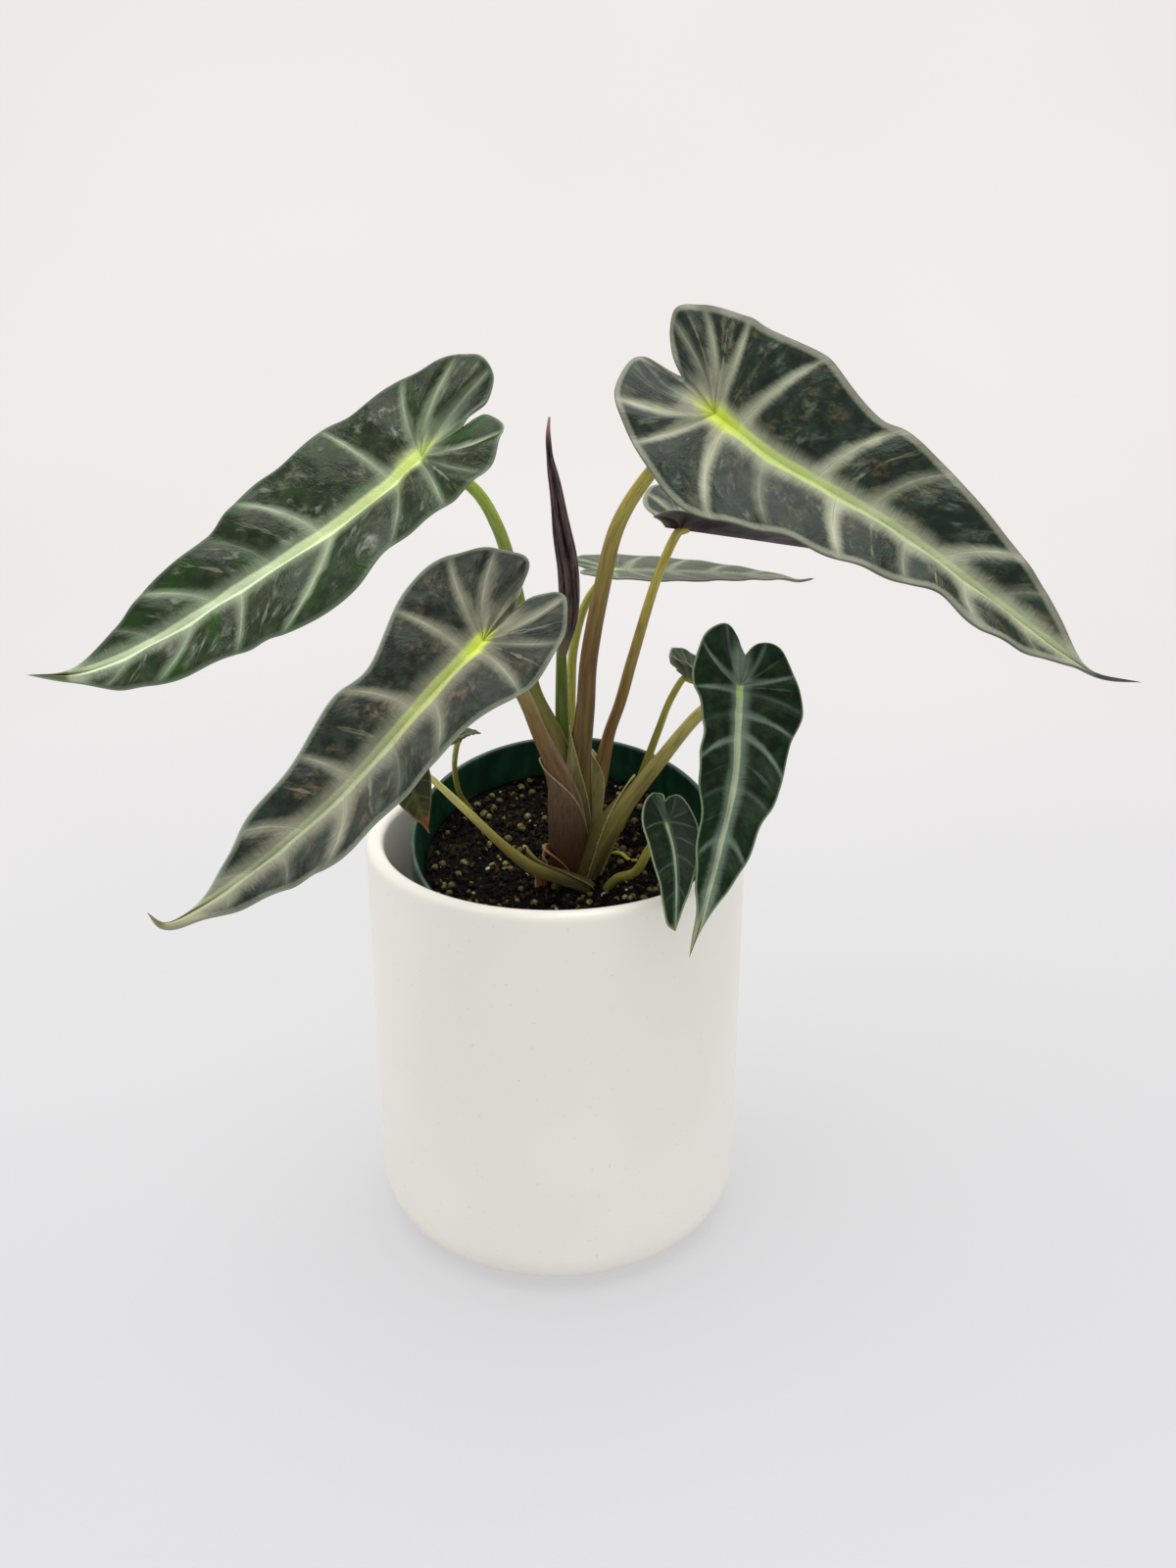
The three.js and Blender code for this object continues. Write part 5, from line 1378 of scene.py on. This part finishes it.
# Tiny right leaf
# A tiny leaf behind the hanging one, folded like a boat. It is paler than the big ones and
# grows on a thin stalk of its own.
TINY_RIGHT_LEAF = dict(
    rib=[(43, -2, 197.5), (48, -1.5, 193.5), (54, -1, 188), (59, -0.5, 183)],
    roll=(8, 8),
    fold=(38, 28),
    curl=12,
    puff=0.4,
    ripple=0.3,
    half_width=8,
    lobe=9,
)
common_leaf(TINY_RIGHT_LEAF)
TINY_RIGHT_STALK = dict(
    route=[(20, 18, 122), (21.5, 18, 133), (28, 15, 152), (34, 7.5, 174), (38, 2, 188), (43, -2, 197.5)],
    radii=[1.7, 1.5, 1.4, 1.2, 1],
)
grown_leaf(
    "tiny_right", TINY_RIGHT_LEAF, TINY_RIGHT_STALK, slot="pale_leaf", substeps=10, columns=18,
    thickness=0.4, sides=18,
    upper=dict(
        panel="#4a5a48", glow="#66765c", deep="#46583f", glint="#76826e", halo="#86927a", vein="#a4ae92",
        rib_low="#a5b26a", rib_high="#a5ae8a", star="#b0c070", bronze="#565030", margin="#98a284",
        line="#aab094", tip="#8c8f6a", Length=22.0, Rib_width=0.5, Rib_halo=1.2, Vein_width=0.25,
        Vein_halo=1.0, Margin=0.7, Star=1.2, Feather=0.5,
    ),
    under=dict(panel="#343c32", glow="#485244", vein="#6c745c", margin="#77785c", Length=22.0),
    stem=dict(foot="#8a803c", middle="#a09744", top="#a8a44a", streak="#6b6030"),
)

# Tiny left leaf
# The smallest leaf, a scale-like one at the left of the stems. It is shorter than a
# fingernail and grows on a stalk like a thread.
TINY_LEFT_LEAF = dict(
    rib=[(-32, -3, 176), (-29.5, -2.3, 177), (-27, -1.6, 177.5), (-24, -1, 177)],
    roll=(-4, 0),
    fold=(16, 10),
    curl=10,
    puff=0.2,
    ripple=0.2,
    half_width=4,
    lobe=4,
)
common_leaf(TINY_LEFT_LEAF)
TINY_LEFT_STALK = dict(
    route=[(-28, 28, 125), (-30, 26, 136), (-33.5, 18, 147), (-34, 7, 162), (-32, -3, 176)],
    radii=[1.1, 1, 0.9, 0.8],
)
grown_leaf(
    "tiny_left", TINY_LEFT_LEAF, TINY_LEFT_STALK, slot="pale_leaf", substeps=8, columns=12,
    thickness=0.4, sides=16,
    upper=dict(
        panel="#1c261e", glow="#283528", deep="#1c281c", glint="#454f42", halo="#4a553c", vein="#5f6a4a",
        rib_low="#6c7648", rib_high="#6c7450", star="#848f50", bronze="#4c4428", margin="#5a6448",
        line="#6a6c48", tip="#5a5438", Length=8.4, Rib_width=0.3, Rib_halo=0.6, Vein_width=0.12,
        Vein_halo=0.45, Margin=0.3, Star=0.6, Feather=0.3,
    ),
    under=dict(panel="#2e352c", glow="#3e463a", vein="#808a58", margin="#7c8458", Length=9.0),
    stem=dict(foot="#8a803c", middle="#a09a48", top="#a0a04c", streak="#6b6030"),
)

# Yellowing leaf
# The oldest leaf, hanging behind the front left one. It is turning yellow, with an
# orange-brown tip. Its stalk has a purple-brown stripe.
YELLOWING_LEAF = dict(
    rib=[(-46, -40, 183), (-43, -42.5, 176), (-40, -44.5, 168), (-37, -45.5, 160.5)],
    roll=(30, 42),
    fold=(16, 14),
    curl=10,
    puff=0.3,
    ripple=0.4,
    half_width=7.5,
    lobe=5,
)
common_leaf(YELLOWING_LEAF)
YELLOWING_STALK = dict(
    route=[
        (13, -5, 116), (10.5, -8, 124), (3, -11.5, 129), (-7, -15, 134.5), (-15, -19, 143),
        (-30, -27, 163), (-39, -33, 175), (-46, -40, 183),
    ],
    radii=[2.5, 2.5, 2.1, 1.5, 1.3, 1.05, 0.9],
)
grown_leaf(
    "yellowing", YELLOWING_LEAF, YELLOWING_STALK, slot="old_leaf", substeps=12, columns=20,
    thickness=0.45, sides=20,
    upper=dict(
        panel="#1c220a", glow="#2e3412", deep="#2a3a10", glint="#5c6434", halo="#5c6428", vein="#7d8238",
        rib_low="#4e5020", rib_high="#62521e", star="#909440", bronze="#6a4a1c", margin="#4a4a1c",
        line="#7d5a2a", tip="#6e431f", tip_from=0.74, halo_share=0.3, vein_share=0.15, Length=25.0,
        Rib_width=0.5, Rib_halo=1.4, Vein_width=0.25, Vein_halo=1.0, Margin=0.8, Star=1.6, Feather=0.8,
    ),
    under=dict(panel="#333618", glow="#4a4a22", vein="#6c6a34", margin="#6a5a28", Length=25.0),
    stem=dict(foot="#352f18", middle="#988c48", top="#e6df86", streak="#5c4a2a", streak_share=0.4),
)
yellowing_wing = sheath_skin(
    "yellowing_sheath", foot="#5a5228", top="#6f6a30", edge="#8a7d48", streak="#3f3820")
sheath("sheath_yellowing", yellowing_wing, **YELLOWING_STALK, reach=30, facing=(0.3, 0.8, 0.6),
       half_turn=110, start=6, flare=2.5)

# Rolled leaf
# The youngest leaf, still rolled into a maroon-black spear with lengthwise pleats and a
# fine tip. It stands on its own deep green stalk.
ROLLED_LEAF = dict(
    route=[
        (2.1, 9.3, 199.5), (3, 9.6, 204.5), (4.1, 9.9, 209.5), (4.7, 10.3, 216), (4.2, 11.1, 229),
        (2.3, 11.8, 241), (0.6, 12.6, 253.5), (-1.2, 13.3, 264), (-1.6, 13.7, 271.5), (-1.2, 14, 276),
    ],
    radii=[1.7, 2.1, 2.5, 2.8, 2.8, 2.7, 2.6, 2.3, 1.9, 1.6, 1.3, 0.8, 0.7, 0.35],
)
PLEATS = 6
PLEAT_DEPTH = 0.33
PLEAT_TWIST = 1.1
ROLLED_STALK = dict(
    route=[
        (5.5, 6, 118), (4.5, 6.5, 141), (3.2, 7.2, 159), (2.3, 8, 176), (2.1, 9, 193), (2.1, 9.3, 200.5),
    ],
    radii=[2.6, 2.6, 2.6, 2.5, 2.2, 1.7],
)


def pleat(angle, share):
    """Swelling of the spear round its section: rounded pleats with sharp creases between."""
    wave = np.abs(np.cos(0.5 * (PLEATS * (angle + PLEAT_TWIST * share))))
    wrap = 0.06 * np.cos(angle + 5 * share)
    depth = PLEAT_DEPTH * min(1, 6 * share, 8 * (1 - share))
    return 1 - depth + 2 * depth * wave ** 0.7 + wrap


maroon, tree, shader = new_material("rolled_leaf_skin", IOR=1.42, Coat_Weight=0.2, Coat_Roughness=0.25)
share = reads(tree, "share").outputs["Fac"]
skin_place = reads(tree, "skin").outputs["Vector"]
drawn = mapped(tree, skin_place, Scale=(1, 1, 0.1))
# Paler grey-purple streaks along the spear: partly its own streaking, partly painted highlights on the
# pleats.
lines = fade(tree, grain(tree, drawn, 1.6, 4, 0.6), 0.4, 0.65)
skin = blend(tree, lines, colour("#140c0c"), colour("#5c403c"))
spots = fade(tree, grain(tree, skin_place, 0.8, 4, 0.7), 0.64, 0.72)
skin = tint(tree, skin, spots, "#8a5a2c", 0.7)
skin = tint(tree, skin, fade(tree, share, 0.16, 0.0), "#6a6040")
skin = tint(tree, skin, fade(tree, share, 0.9, 0.98), "#a07870")
dress(tree, shader, skin, fade(tree, lines, 0, 1, 0.28, 0.42))
bump(tree, shader, grain(tree, drawn, 3.0, 3), 0.3, 0.0004)
spots_on = np.linspace(0, smooth_curve(ROLLED_LEAF["route"])[1][-1], len(ROLLED_LEAF["radii"]))
points, quads, marks = ring_sweep(
    smooth_curve(ROLLED_LEAF["route"]), spots_on, ROLLED_LEAF["radii"], 112, 0.45, pleat
)
mesh_piece("spear_rolled", points, quads, [maroon], ["leaf_rolled"], marks)
rolled_skin = stalk_skin(
    "rolled_stalk_skin", foot="#5f7420", middle="#66802a", top="#5c6c26", streak="#3c4c14")
stalk("petiole_rolled", None, **ROLLED_STALK, skin=rolled_skin, slot="young_green",
      replaced="stalk_rolled")

# Dry sheath
# Red-brown papery scraps of old leaf sheath that have dried and curled at the foot of the
# stalks, and one dead strip that lies across the soil.
DRY_SHEATH = dict(
    rib=[(-1.5, -8.6, 121), (-3.6, -9.3, 128), (-4.6, -8.6, 134), (-4.2, -7, 139)],
    roll=(-75, -60),
    fold=(-34, -20),
    curl=-30,
    puff=0,
    ripple=0.4,
    half_width=4.2,
    lobe=2.5,
)
common_leaf(DRY_SHEATH)
paper_skin, tree, shader = new_material("dry_sheath_paper", Roughness=0.8)
drawn = mapped(tree, reads(tree, "place").outputs["Vector"], Scale=(0.12, 1, 1))
lines = fade(tree, grain(tree, drawn, 3.0, 4, 0.7), 0.35, 0.7)
skin = blend(tree, lines, colour("#5a2c1c"), colour("#8d5a3c"))
skin = tint(tree, skin, fade(tree, reads(tree, "margin").outputs["Fac"], 0.8, 0.0), "#a5805c")
tree.links.new(skin, shader.inputs["Base Color"])
bump(tree, shader, grain(tree, drawn, 5.0, 4), 0.4, 0.0005)
blade("sheath_dried", DRY_SHEATH, paper_skin, paper_skin, "dry_paper", "dry_sheath",
      substeps=10, columns=18, thickness=0.4)
scrap_skin = sheath_skin(
    "dry_scrap", foot="#4a2418", top="#7a4630", edge="#a87f5c", streak="#35180f")
sheath("scrap_dried", scrap_skin, **FRONT_LEFT_STALK, reach=19, facing=(-0.9, -0.45, 0),
       half_turn=75, start=4, flare=2.5, slant=3, slot="dry_paper")
straw_skin = stalk_skin(
    "dead_straw", foot="#8a7048", middle="#a88f60", top="#9a8050", streak="#5c4628")
stalk("strip_dead", None, [(-31, 1, 127), (-27, 2.4, 127.8), (-23, 3, 127.4), (-19, 4, 128)],
      [0.3, 0.7, 0.6, 0.3], straw_skin, "dry_paper", sides=12, step=0.6)

# Young shoot
# A small yellow-green offset of the plant that has just come out of the soil to the right
# of the stems, and bends over.
YOUNG_SHOOT = dict(
    route=[(19, 8, 122), (19.5, 7, 129.5), (22, 5, 130.5), (25, 3, 129), (27.5, 2, 129.5)],
    radii=[0.9, 0.8, 0.75, 0.7, 0.45],
)
shoot_skin = stalk_skin(
    "young_shoot_skin", foot="#a39a40", middle="#c2bc4c", top="#c8c050", streak="#75683a")
stalk("shoot_young", None, **YOUNG_SHOOT, skin=shoot_skin, slot="young_green",
      replaced="young_shoot", sides=16, step=0.6)
